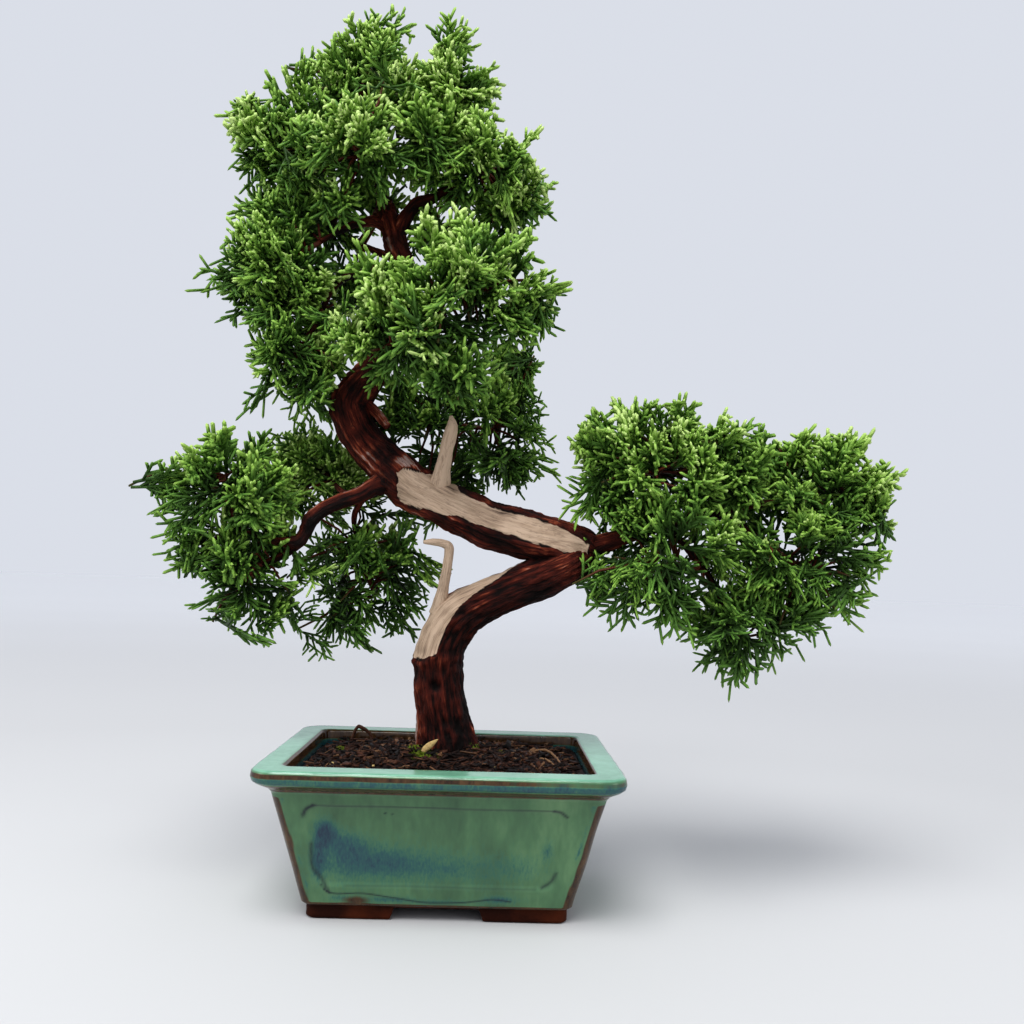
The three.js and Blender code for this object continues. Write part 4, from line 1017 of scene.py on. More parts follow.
    tuft_area: float = 104
    upright_above: float = 0.15
    twig_thickness: float = 1.2
    fresh_inside: float = 0.215
    fresh_outwards: float = 0.32
    fresh_tips: float = 0.24
    deep_tufts: float = 0.12
    shared: float = 0.62
    hidden: float = 0.95
    look_up: float = 30
    look_down: float = 26

    def __post_init__(self) -> None:
        """Grows the variants of each habit once, and lists every lobe with the number of its cloud."""
        self.sprays = {habit: [Spray(habit.value, 100 * number + k) for k in range(self.variants)]
                       for number, habit in enumerate(Habit)}
        lobes = [(number, *cloud.centre, *cloud.reach) for number, cloud in enumerate(self.clouds)]
        lobes += [(number, *lobe, lobe[3], lobe[3]) for number, cloud in enumerate(self.clouds)
                  for lobe in cloud.lobes]
        table = np.array(lobes, float)
        self.owners, self.centres, self.reaches = table[:, 0].astype(int), table[:, 1:4], table[:, 4:]

    def crowding(self, places: np.ndarray, own: int) -> np.ndarray:
        """How near each place is to another lobe's middle, as a share of that lobe's reach, the least of all."""
        shares = np.linalg.norm((places[:, None] - self.centres[None]) / self.reaches[None], axis=-1)
        shares[:, own] = 9.0
        return shares.min(1)

    def tufts(self, lobe: int, random: np.random.Generator) -> dict[str, np.ndarray]:
        """Spreads tufts over a lobe on a golden spiral, most near its outside and some deeper.

        Tufts deep in another lobe or in a clearing are left out, and those between two lobes reach further.

        Args:
            lobe: The lobe's number.
            random: The source of small differences.

        Returns:
            Each tuft's tip, outward direction, level from -1 to 1, and whether the sky or the ground is hidden.
        """
        centre, reach = self.centres[lobe], self.reaches[lobe]
        area = reach[0] * reach[1] + reach[1] * reach[2] + reach[2] * reach[0]
        count = round(area / self.tuft_area * self.clouds[self.owners[lobe]].fill)
        level = np.clip(1 - 2 * (np.arange(count) + 0.5) / count + random.normal(0, 0.05, count), -1, 1)
        turn = np.arange(count) * GOLDEN_TURN + random.normal(0, 0.2, count)
        side = np.sqrt(1 - level**2)
        out = np.stack([side * np.cos(turn), side * np.sin(turn), level], -1)
        lumps = 1 + 0.1 * waviness(out * 30 + lobe * 50, 30.0, 5)
        depth = np.where(random.random(count) < self.deep_tufts, random.uniform(0.5, 0.75, count),
                         random.uniform(0.84, 1.03, count)) * lumps
        places = centre + out * reach * depth[:, None]
        crowd = self.crowding(places, lobe)
        depth = depth * np.where((crowd > 0.8) & (crowd < 1.3), random.uniform(0.98, 1.14, count), 1.0)
        places = centre + out * reach * depth[:, None]
        keep = self.crowding(places, lobe) > self.shared
        for clearing in self.clearings:
            keep &= np.linalg.norm((places - clearing[:3]) / np.array(clearing[3:]), axis=1) > 1
        tufts = {"tip": places, "out": out, "level": level,
                 "covered": self.crowding(places + self.look_up * UP, lobe) < self.hidden,
                 "propped": self.crowding(places - self.look_down * UP, lobe) < self.hidden}
        return {name: values[keep] for name, values in tufts.items()}

    def add_sprays(self, skin: Skin, cloud: Cloud, habit: Habit, tufts: dict[str, np.ndarray],
                   random: np.random.Generator) -> np.ndarray:
        """Adds tufts of a habit's sprays: each tuft's sprays fan out from one place, the end of its twig.

        Args:
            skin: What the sprays are added to.
            cloud: The cloud.
            habit: The sprays' habit.
            tufts: The chosen tufts.
            random: The source of small differences.

        Returns:
            Where each tuft's twig ends.
        """
        growth = habit.value
        total = len(tufts["tip"])
        heading = unit(tufts["out"] + growth.climb * UP + random.normal(0, 0.15, (total, 3)))
        knots = tufts["tip"] - 0.9 * growth.main * heading
        tuft = np.repeat(np.arange(total), growth.tuft)
        ways = unit(heading[tuft] + growth.splay * random.normal(size=(len(tuft), 3)))
        bases = knots[tuft] + random.normal(0, 1.1, (len(tuft), 3)) - 1.5 * ways
        size = random.uniform(0.75, 1.08, len(tuft))
        across = unit(np.cross(ways, random.normal(size=ways.shape)))
        turned = np.stack([across, np.cross(ways, across), ways], -1)
        # Painted light and shade: tufts high in a lobe are drawn lighter, those whose sky is covered and hanging sprays
        # darker, and each cloud is lifted by its own brightness
        light = (0.08 * tufts["level"] + cloud.vigour_and_light - 0.07 * tufts["covered"] + random.normal(0, 0.05, total))[tuft]
        light = light + random.normal(0, 0.05, len(tuft)) - (0.06 if habit is Habit.HANGING else 0.0)
        kind = random.integers(0, self.variants, len(tuft))
        for number, spray in enumerate(self.sprays[habit]):
            chosen = np.flatnonzero(kind == number)
            if not len(chosen):
                continue
            local = spray.points[None] * size[chosen, None, None]
            points = local @ turned[chosen].transpose(0, 2, 1) + bases[chosen, None]
            share = local[..., 2] / growth.main
            points = points + (growth.lift * share**2)[..., None] * UP
            fresh = (self.fresh_inside + self.fresh_outwards * spray.reach[None] ** 1.3
                     + self.fresh_tips * spray.tipward[None] + light[chosen, None])
            step = np.arange(len(chosen))[:, None, None] * len(spray.points)
            skin.add(points, spray.quads[None] + step, spray.triangles[None] + step, fresh=fresh, woody=0.0)
        return knots

    def add_twigs(self, skin: Skin, cloud: Cloud, knots: np.ndarray, wood: Wood) -> None:
        """Adds the main twig from the branch's end through the cloud, and a thin twig from it to each tuft."""
        end = np.array(wood.branches[cloud.branch], float)
        tip, way = end[-1, :3], unit(end[-1, :3] - end[-2, :3])
        centre = np.array(cloud.centre, float)
        span = np.linalg.norm(centre - tip)
        first = tip + way * max(5.0, 0.35 * span)
        far = centre + 0.15 * np.linalg.norm(cloud.reach) * unit(centre - tip)
        stem = Limb(((*tip, end[-1, 3]), (*first, 2.6), (*centre, 2.4), (*far, 1.4)), row_length=3, columns=8)
        rings = stem.rings(0.15 * waviness(stem.rings(), 5.0, 9))
        skin.sleeve(rings, fresh=0.0, woody=1.0)
        nearest = stem.centre[np.linalg.norm(knots[:, None] - stem.centre[None], axis=-1).argmin(1)]
        shares = np.array([0.0, 0.35, 0.7, 1.06])
        length = np.linalg.norm(knots - nearest, axis=1)
        line = nearest[:, None] + shares[None, :, None] * (knots - nearest)[:, None]
        crook = np.stack([waviness(line, 11.0, seed) for seed in (81, 82, 83)], -1)
        line = line + np.sin(shares * math.pi / 1.06)[None, :, None] * 0.1 * length[:, None, None] * (crook + UP)
        across = unit(np.cross(knots - nearest + 1e-6, (0.2, 0.9, 0.4)))
        beside = np.cross(unit(knots - nearest + 1e-6), across)
        width = self.twig_thickness / 2 * np.array([1.3, 1.1, 1.05, 0.85])
        points = line[:, :, None] + width[None, :, None, None] * around(turns(4), across, beside)[:, None]
        step = np.arange(len(knots))[:, None, None] * 16
        ends = np.array([(0, 2, 1), (0, 3, 2), (12, 13, 14), (12, 14, 15)])[None] + step
        woody = np.broadcast_to(np.array([1.0, 1.0, 0.9, 0.4])[None, :, None], points.shape[:3])
        skin.add(points, grid_faces(4, 4)[None] + step, ends, fresh=0.3 * (1 - woody), woody=woody)

    def build(self, wood: Wood) -> list[bpy.types.Object]:
        """Builds each cloud as one piece.

        Args:
            wood: The wood, whose branch ends carry the clouds.

        Returns:
            The pieces.
        """
        material = ScaleFoliage().material()
        pieces = []
        for number, cloud in enumerate(self.clouds):
            random = np.random.default_rng(700 + number)
            skin, knots = Skin(), []
            for lobe in np.flatnonzero(self.owners == number):
                tufts = self.tufts(int(lobe), random)
                upright = (tufts["level"] > max(self.upright_above, cloud.droop)) & ~tufts["covered"]
                hanging = (tufts["level"] < cloud.droop) & (~tufts["propped"] | (cloud.droop > 0))
                for habit, chosen in ((Habit.UPRIGHT, upright), (Habit.HANGING, hanging),
                                      (Habit.LEVEL, ~(upright | hanging))):
                    some = {name: values[chosen] for name, values in tufts.items()}
                    knots.append(self.add_sprays(skin, cloud, habit, some, random))
            self.add_twigs(skin, cloud, np.vstack(knots), wood)
            pieces.append(skin.piece(f"sprays_{cloud.name}", material, "foliage", (f"foliage_{cloud.name}",)))
        return pieces


@dataclass(frozen=True)
class Mark:
    """A line drawn in the glaze of the front wall, through places (x, z) in millimetres."""

    places: tuple[tuple[float, float], ...]
    width: float
    strength: float

    def cover(self, x: np.ndarray, z: np.ndarray) -> np.ndarray:
        """Its strength at each place: e^(-(distance / width)^2) from the nearest point of the line."""
        least = np.full(x.shape, 1e6)
        line = np.array(self.places, float)
        line = smooth_path(line, 4 * len(line)) if len(line) > 2 else line
        for (x0, z0), (x1, z1) in zip(line[:-1], line[1:]):
            dx, dz = x1 - x0, z1 - z0
            share = np.clip(((x - x0) * dx + (z - z0) * dz) / (dx * dx + dz * dz), 0, 1)
            least = np.minimum(least, np.hypot(x - x0 - share * dx, z - z0 - share * dz))
        return self.strength * near(least, self.width)


@dataclass
class Pot:
    """The glazed pot: rings of a rectangle with round corners, carried up the outside and down the inside."""

    length: float = 152
    width: float = 112
    height: float = 64
    lip_overhang: float = 8.3
    body_taper: float = 11.2
    foot_height: float = 5.8
    foot_inset: float = 2
    foot_width: float = 9
    floor_top: float = 12
    rim_band: float = 12.4
    rim_corner: float = 10
    wall: float = 6
    lip_depth: float = 12.5
    drain_radius: float = 7
    drain_spacing: float = 56
    long_panel: tuple[float, float] = (53, 48.5)
    short_panel: tuple[float, float] = (33.5, 29)
    panel_height: float = 34.2
    panel_middle: float = 32.1
    panel_depth: float = 1.0
    panel_corner: float = 5
    long_notch: float = 38
    short_notch: float = 24
    per_corner: int = 8
    per_side: tuple[int, int, int, int] = (40, 32, 124, 32)
    row_step: float = 1.1
    fine_step: float = 0.5
    hidden_step: float = 3.0
    # Front wall, x and z: lines of dark glaze, and pools as x, z, half-width, half-height and strength
    marks: tuple[Mark, ...] = (
        Mark(((-54.3, 45.1), (-53.1, 47.6), (-50.3, 49.2)), 0.8, 1.0),
        Mark(((-50.3, 49.2), (-35.5, 49.2), (-7.5, 49.4), (16.6, 49.2), (46.7, 49.4)), 0.32, 0.75),
        Mark(((46.7, 49.4), (49.2, 48.9), (51.8, 47.0)), 0.65, 0.9),
        Mark(((43.1, 15.8), (46.7, 18.4), (48.6, 22.1)), 0.7, 0.7),
        Mark(((-51.2, 33.0), (-51.2, 27), (-50.5, 22.3), (-46.9, 17.2), (-44.1, 11.9)), 0.75, 0.75),
        Mark(((-37.5, 14.8), (-6.9, 15.2), (17.7, 14.9), (40.3, 15.1)), 0.5, 0.3),
        Mark(((-47.2, 15.2), (-45.5, 12.6), (-41, 11.3), (-30, 11.8), (-17.5, 10.0), (-5, 8.4), (9, 8.5),
              (16, 9.4), (23, 10.3), (30.5, 9.4)), 0.32, 0.95),
        Mark(((-21.6, 46.4), (-21.2, 46.4)), 0.35, 1.0),
        Mark(((-18.9, 46.2), (-18.6, 46.2)), 0.3, 1.0),
    )
    pools: tuple[tuple[float, ...], ...] = (
        (-45.5, 38, 4.5, 6, 0.95), (-37, 34, 8, 5, 0.4), (-48.5, 26, 3, 10, 0.6), (-37, 25.5, 13, 9.5, 0.7),
        (-20, 25, 12, 8.5, 0.56), (-4, 24, 13, 8, 0.46), (14, 23.5, 13, 7.5, 0.4), (33, 24, 11, 7, 0.36),
        (45, 32, 2.5, 4.5, 0.5), (-20, 9.2, 10, 1.6, 0.6), (2, 8.6, 14, 1.3, 0.5), (26, 10.2, 8, 1.8, 0.7),
        (-40, 9.5, 5, 1.8, 0.5),
    )

    def wall_ends(self) -> tuple[float, float]:
        """The heights of the tapered wall's top, under the lip, and its bottom, over the foot."""
        return self.height - self.lip_depth, self.foot_height + 0.8

    def rows(self) -> np.ndarray:
        """The pot's profile as rows of inset from the rim's edge, height and corner radius, foot to inner floor.

        Each corner of the profile also gives how far apart the rows after it lie: closest where lines of glaze cross
        the wall, and wide apart where nothing is seen.
        """
        top, bottom = self.wall_ends()
        low = self.lip_overhang + self.body_taper
        foot = low + self.foot_inset
        wall_low, wall_high = (low - self.body_taper * (z - bottom) / (top - bottom) for z in (17, 45.5))
        plain, fine, hidden = self.row_step, self.fine_step, self.hidden_step
        rough = np.array([
            (foot + self.foot_width + 1, self.foot_height, 4, hidden), (foot + self.foot_width, 0.2, 4, hidden),
            (foot + self.foot_width - 0.6, 0, 4, hidden), (foot + 0.6, 0, 4, plain), (foot, 0.5, 4.5, plain),
            (foot, self.foot_height - 0.6, 4.5, plain), (low + 0.9, self.foot_height, 5, fine),
            (low, bottom, 5.2, fine), (wall_low, 17, 5.3, plain), (wall_high, 45.5, 5.7, fine),
            (self.lip_overhang, top, 5.8, fine), (self.lip_overhang - 0.7, top + 2.2, 6.6, fine),
            (self.lip_overhang - 2.2, top + 4, 7.5, plain), (self.lip_overhang - 4.8, top + 5.4, 8.5, plain),
            (2, self.height - 6.2, 9, fine), (0.5, self.height - 5, self.rim_corner, fine),
            (0, self.height - 3.2, self.rim_corner, fine), (0.3, self.height - 1, self.rim_corner, fine),
            (1.4, self.height, 9, plain), (self.rim_band - 1, self.height, 4.5, fine),
            (self.rim_band, self.height - 0.9, 4, plain), (self.rim_band + 0.4, self.height - 4, 4, plain),
            (self.rim_band + 1.2, top, 4, hidden), (low + self.wall - 1.5, self.floor_top + 2, 4, hidden),
            (low + self.wall + 1, self.floor_top, 3, hidden),
        ], float)
        walk = np.concatenate([[0], np.cumsum(np.linalg.norm(np.diff(rough[:, :2], axis=0), axis=1))])
        steps = [np.linspace(a, b, max(2, round((b - a) / step) + 1))[:-1]
                 for a, b, step in zip(walk[:-1], walk[1:], rough[:, 3])]
        places = np.append(np.concatenate(steps), walk[-1])
        return np.stack([np.interp(places, walk, rough[:, k]) for k in range(3)], -1)

    def ring_grid(self, rows: np.ndarray) -> np.ndarray:
        """Each row as a ring: four quarter circles, each with the straight back, left, front or right after it."""
        inset, z, corner = (rows[:, k, None] for k in range(3))
        half_x, half_y = self.length / 2 - inset, self.width / 2 - inset
        columns = []
        signs = ((1, 1), (-1, 1), (-1, -1), (1, -1))
        for quarter, (sign_x, sign_y) in enumerate(signs):
            angle = (quarter + np.linspace(0, 1, self.per_corner + 1)) * math.pi / 2
            arc_x = sign_x * (half_x - corner) + corner * np.cos(angle)[None]
            arc_y = sign_y * (half_y - corner) + corner * np.sin(angle)[None]
            columns.append(np.stack([arc_x, arc_y], -1))
            next_x, next_y = signs[(quarter + 1) % 4]
            turn = (quarter + 1) * math.pi / 2
            end = np.stack([next_x * (half_x - corner) + corner * math.cos(turn),
                            next_y * (half_y - corner) + corner * math.sin(turn)], -1)
            share = np.linspace(0, 1, self.per_side[quarter] + 1)[1:-1][None, :, None]
            columns.append((1 - share) * columns[-1][:, -1:] + share * end)
        flat = np.concatenate(columns, 1)
        return np.concatenate([flat, np.broadcast_to(z[..., None], (*flat.shape[:2], 1))], -1)

    def panel_edge(self, along: np.ndarray, z: np.ndarray, panel: tuple[float, float]) -> np.ndarray:
        """Signed distance to a wall panel's edge in millimetres: a rounded trapezoid, below zero inside it."""
        reach = self.panel_height / 2
        half = np.interp(z, (self.panel_middle - reach, self.panel_middle + reach), panel[::-1])
        out = np.stack([np.abs(along) - half, np.abs(z - self.panel_middle) - reach], -1) + self.panel_corner
        return np.linalg.norm(np.maximum(out, 0), axis=-1) + np.minimum(out.max(-1), 0) - self.panel_corner

    def build(self) -> bpy.types.Object:
        """Builds the pot, with its panels sunk, its foot notched and its drainage holes cut."""
        rows = self.rows()
        grid = self.ring_grid(rows)
        x, y, z = grid[..., 0], grid[..., 1], grid[..., 2]
        turn_row = int(np.argmax(rows[:, 1] > self.height - 0.01))
        is_outside = np.broadcast_to(np.arange(len(rows))[:, None] <= turn_row, z.shape)
        top, bottom = self.wall_ends()
        is_wall = is_outside & (z > bottom - 0.3) & (z < top + 0.5)
        gap_x = self.length / 2 - rows[:, 0, None] - np.abs(x)
        gap_y = self.width / 2 - rows[:, 0, None] - np.abs(y)
        is_long = gap_y < gap_x
        edge = np.where(is_long, self.panel_edge(x, z, self.long_panel), self.panel_edge(y, z, self.short_panel))
        edge = np.where(is_wall, edge, 50.0)
        sunk = self.panel_depth * smooth_step(1.1, -1.5, edge)
        inward = np.where(is_long[..., None], np.stack([0 * x, -np.sign(y), 0 * x], -1),
                          np.stack([-np.sign(x), 0 * x, 0 * x], -1))
        thick = 0.16 * waviness(grid, 16.0, 61) * is_outside * (z > bottom)
        grid = grid + (sunk - thick)[..., None] * inward
        is_foot = is_outside & (z < self.foot_height - 0.3)
        for half, place in ((self.long_notch / 2, np.abs(x)), (self.short_notch / 2, np.abs(y))):
            roof = (self.foot_height - 0.7) * smooth_step(half + 0.6, half - 1.6, place)
            grid[..., 2] = np.where(is_foot, np.maximum(grid[..., 2], roof), grid[..., 2])
        tones = self.tones(grid, rows[:, 0, None] + 0 * z, edge, is_outside, np.maximum(gap_x, gap_y))
        skin = Skin()
        skin.sleeve(grid, **tones)
        pot = skin.piece("glazed_pot", RunningGlaze().material(), "glaze", ("pot",))
        self.cut_drains(pot)
        self.bare_foot(pot)
        return pot

    def bare_foot(self, pot: bpy.types.Object) -> None:
        """Gives the foot and the underside, which are the faces below the body's lower edge, the clay's finish."""
        pot.data.materials.append(BareStoneware().material())
        middles = np.empty(3 * len(pot.data.polygons), np.float32)
        pot.data.polygons.foreach_get("center", middles)
        below = middles.reshape(-1, 3)[:, 2] < (self.foot_height + 0.4) * MM
        pot.data.polygons.foreach_set("material_index", below.astype(np.int32))

    def tones(self, grid: np.ndarray, inset: np.ndarray, edge: np.ndarray, is_outside: np.ndarray,
              corner_gap: np.ndarray) -> dict[str, np.ndarray]:
        """Where the rim's flat top is painted pale as a painted sky reflection, and where the glaze pools blue, draws a
        line or thins to brown.

        Args:
            grid: The pot's points.
            inset: How far in from the rim's edge the profile lies at each point.
            edge: Signed distance to the panel's edge, and 50 off the wall.
            is_outside: Whether a point is on the outside.
            corner_gap: Distance from the sharp corner that the round corner stands for, seen square to the wall.

        Returns:
            The tones of the rim's painted reflection, pool, thin and line.
        """
        x, y, z = grid[..., 0], grid[..., 1], grid[..., 2]
        top, bottom = self.wall_ends()
        is_wall, is_front = edge < 49, y < -30

        def band(low: float, high: float, soft: float = 0.4) -> np.ndarray:
            """One between two heights on the outside, with soft edges."""
            return band_inside(z, low, high, soft) * is_outside

        uneven = waviness(grid * (1, 1, 0.5), 9.0, 62)
        blotch = waviness(grid * (1, 1, 0.6), 26.0, 63)
        is_top = smooth_step(self.height - 0.9, self.height - 0.3, z)
        pool = sum(strength * near(x - px, wide) * near(z - pz, tall) * is_front
                   for px, pz, wide, tall, strength in self.pools)
        pool = np.minimum(pool, 1.05)
        elsewhere = 0.75 * smooth_step(0.0, 0.8, blotch) * near(z - 26, 9) * smooth_step(-0.5, -2.5, edge)
        pool = pool + np.where(is_front, 0.0, elsewhere)
        corner_blue = near(corner_gap - 5.2 - 0.5 * uneven, 0.8) * is_wall
        pool = pool + 0.7 * corner_blue * smooth_step(-0.6, 0.4, uneven)
        pool = pool + band(58.2, 61.0) * (0.62 + 0.1 * uneven + 0.12 * smooth_step(-20, 50, x))
        pool = pool + 0.6 * band(61.0, 62.6) * smooth_step(-10, 40, x) * smooth_step(-0.5, 0.7, uneven)
        line = sum(mark.cover(x, z) for mark in self.marks) * (is_front & is_wall)
        side_line = 0.45 * near(edge - 0.1, 0.5) * smooth_step(-0.2, 0.7, uneven) * is_wall
        line = np.clip(line + np.where(is_front, 0.0, side_line), 0, 1)
        thin = band(60.9, 62.9) * (0.9 + 0.12 * uneven) * (1 - 0.5 * smooth_step(15, 60, x) * is_front)
        # Under the lip's overhang the brown band is partly the clay showing through and partly painted shadow under the
        # lip
        thin = thin + band(54.6, 57.9, 0.6) * (1.0 - 0.25 * smooth_step(-30, 40, x) * is_front)
        thin = thin + 0.95 * smooth_step(4.5, 3.5, corner_gap + 0.5 * uneven) * is_wall
        thin = thin + 0.8 * band(bottom - 0.5, bottom + 0.7, 0.3)
        thin = thin + 0.9 * near(x + 33, 6.5) * near(z - 8.6, 2.2) * is_front * is_wall
        inner = ~is_outside & (z < self.height - 0.3)
        thin = thin + inner * band_inside(z, self.height - 4.5, self.height - 0.4)
        pool = pool + 0.8 * inner * band_inside(z, self.height - 9, self.height - 4.8)
        worn_rim = near(inset - self.rim_band + 0.4, 1.3) * is_top * smooth_step(0.1, -0.3, x / 60 - 0.2 * uneven)
        # Painted reflection: the flat top of the rim is drawn pale, less so where its inner edge is worn brown
        rim_reflection = np.clip(is_top - 0.55 * worn_rim, 0, 1)
        return {"rim_reflection": rim_reflection, "pool": pool, "thin": thin + 0.5 * worn_rim, "line": line}

    def cut_drains(self, pot: bpy.types.Object) -> None:
        """Cuts the two drainage holes through the floor and applies the cuts."""
        for side in (-1, 1):
            bore = Limb(((side * self.drain_spacing / 2, 0, -5, 2 * self.drain_radius),
                         (side * self.drain_spacing / 2, 0, 2 * self.floor_top, 2 * self.drain_radius)), 30, 32)
            cutter_mesh = bpy.data.meshes.new("drain_cutter")
            rings = to_frame(bore.rings())
            rows, columns = rings.shape[:2]
            caps = [list(range(columns))[::-1], list(range((rows - 1) * columns, rows * columns))]
            cutter_mesh.from_pydata(rings.reshape(-1, 3), [], grid_faces(rows, columns).tolist() + caps)
            cutter = new_object("drain_cutter", cutter_mesh)
            cut = pot.modifiers.new("drain", "BOOLEAN")
            cut.operation = "DIFFERENCE"
            cut.solver = "EXACT"
            cut.object = cutter
            bpy.context.view_layer.objects.active = pot
            bpy.ops.object.modifier_apply(modifier=cut.name)
            bpy.data.objects.remove(cutter)


@dataclass
class Soil:
    """The mounded soil with its loose bits, fibres, moss, white grit and the thin roots that show."""

    edge_height: float = 57
    mound: float = 8
    middle_y: float = 11
    half_x: float = 61.5
    half_y: float = 42
    chips: int = 1900
    fibres: int = 900
    moss_tufts: int = 800

    def height(self, x: np.ndarray, y: np.ndarray) -> np.ndarray:
        """Height of the soil: it rises from the edge to the trunk as a share of the way in, with clods on it."""
        share = np.clip(np.maximum(np.abs(x) / self.half_x, np.abs(y - self.middle_y * (1 - np.abs(y) / 60))
                                   / self.half_y), 0, 1)
        places = np.stack([x, y, 0 * x], -1)
        return (self.edge_height + self.mound * (1 - share) ** 0.8 + 0.8 * waviness(places, 9.0, 71)
                + 0.45 * waviness(places, 3.2, 72))

    def add_ground(self, skin: Skin) -> None:
        """Adds the body of the soil: rings drawn from the pot's inner wall over the mound to its middle."""
        rows = np.array([(26.4, 12.4, 3), (23.9, 14, 4), (14.0, 51.5, 4), (13.4, self.edge_height, 4)], float)
        rings = Pot(per_side=(36, 28, 44, 28), per_corner=4).ring_grid(rows)
        shares = np.linspace(0.985, 0.02, 46)[:, None, None]
        rim = rings[-1]
        flat = rim[None, :, :2] * shares + np.array([0, self.middle_y]) * (1 - shares)
        top = np.concatenate([flat, self.height(flat[..., 0], flat[..., 1])[..., None]], -1)
        rings = np.concatenate([rings, top])
        tint = 0.12 + 0.06 * waviness(rings, 6.0, 73)
        skin.sleeve(rings, tint=tint, moss=self.moss_share(rings))

    def moss_share(self, points: np.ndarray) -> np.ndarray:
        """Share of moss at each place, in small patches before the trunk."""
        patches = ((-12.5, 0, 5.5), (-9, -8, 6), (4, 8.5, 3.5), (11, 6, 4), (-15, 6, 3), (25, 5, 3), (-50, 18, 4))
        shares = [near(np.hypot(points[..., 0] - x, points[..., 1] - y), size) for x, y, size in patches]
        return np.clip(1.1 * np.maximum.reduce(shares) - 0.25, 0, 0.85)

    def scatter(self, count: int, random: np.random.Generator) -> np.ndarray:
        """Random places on the soil's top, clear of the pot's wall."""
        x = random.uniform(-self.half_x + 2.5, self.half_x - 2.5, count)
        y = random.uniform(-self.half_y + 2.5, self.half_y - 2.5, count)
        return np.stack([x, y, self.height(x, y)], -1)

    def add_chips(self, skin: Skin, random: np.random.Generator) -> None:
        """Adds flat bark bits: boxes with pushed corners, turned at random and half sunk in the soil."""
        centres = self.scatter(self.chips, random)
        corners = np.array([(a, b, c) for c in (-1, 1) for a, b in ((-1, -1), (1, -1), (1, 1), (-1, 1))], float)
        size = np.exp(np.clip(random.normal(0, 0.4, (self.chips, 1, 1)), -1, 0.6)) * np.array([1.35, 0.55, 0.32])
        box = corners[None] * size * random.uniform(0.6, 1.3, (self.chips, 8, 3))
        ways = unit(random.normal(size=(self.chips, 3)) * (1, 1, 0.35))
        across = unit(np.cross(ways, random.normal(size=(self.chips, 3)) * (0.4, 0.4, 1)))
        turned = np.stack([ways, across, np.cross(ways, across)], -1)
        points = box @ turned.transpose(0, 2, 1) + centres[:, None] + UP * random.uniform(-0.2, 0.7, (self.chips, 1, 1))
        quads = np.array([(3, 2, 1, 0), (4, 5, 6, 7), (0, 1, 5, 4), (1, 2, 6, 5), (2, 3, 7, 6), (3, 0, 4, 7)])
        quads = quads[None] + np.arange(self.chips)[:, None, None] * 8
        tint = random.choice([0.02, 0.14, 0.3, 0.46], self.chips, p=[0.38, 0.34, 0.19, 0.09])
        tint = np.repeat(tint[:, None], 8, 1)
        skin.add(points, quads, None, tint=tint, moss=0.0)

    def add_strands(self, skin: Skin, random: np.random.Generator) -> None:
        """Adds fibres: thin bent strands of four rings that lie on the soil."""
        count = self.fibres
        start = self.scatter(count, random)
        turn = random.uniform(0, 2 * math.pi, count)
        length = random.uniform(3, 12, count)
        way = np.stack([np.cos(turn), np.sin(turn), random.uniform(-0.1, 0.25, count)], -1)
        shares = np.linspace(0, 1, 4)
        line = start[:, None] + shares[None, :, None] * (way * length[:, None])[:, None]
        line[..., :2] = np.clip(line[..., :2], (-self.half_x + 1.5, -self.half_y + 1.5),
                                (self.half_x - 1.5, self.half_y - 1.5))
        line[..., 2] = np.maximum(line[..., 2], self.height(line[..., 0], line[..., 1]) + 0.1)
        side = np.stack([-np.sin(turn), np.cos(turn), 0 * turn], -1)
        line = line + (np.sin(shares * math.pi)[None] * random.normal(0, 1.1, (count, 1)))[..., None] * side[:, None]
        thick = random.uniform(0.18, 0.5, count)
        points = line[:, :, None] + thick[:, None, None, None] * around(turns(3), side, UP[None])[:, None]
        quads = grid_faces(4, 3)[None] + np.arange(count)[:, None, None] * 12
        caps = np.array([(0, 1, 2), (11, 10, 9)])[None] + np.arange(count)[:, None, None] * 12
        tint = np.repeat(random.choice([0.08, 0.26, 0.44], count, p=[0.4, 0.4, 0.2])[:, None], 12, 1)
        skin.add(points, quads, caps, tint=tint, moss=0.0)

    def add_moss(self, skin: Skin, random: np.random.Generator) -> None:
        """Adds moss: short three-sided points standing out of the patches."""
        places = self.scatter(40 * self.moss_tufts, random)
        keep = self.moss_share(places) > random.uniform(0.1, 0.9, len(places))
        base = places[keep][: self.moss_tufts]
        lean = unit(random.normal(size=base.shape) * 0.5 + UP)
        angle = turns(3)
        ring = np.stack([np.cos(angle), np.sin(angle), 0 * angle], -1) * 0.3
        tips = base + lean * random.uniform(0.8, 1.9, (len(base), 1))
        points = np.concatenate([base[:, None] + ring[None], tips[:, None]], 1)
        sides = np.array([(0, 1, 3), (1, 2, 3), (2, 0, 3), (2, 1, 0)])[None]
        triangles = sides + np.arange(len(base))[:, None, None] * 4
        skin.add(points, np.zeros((0, 4), int), triangles, tint=0.3, moss=0.9)

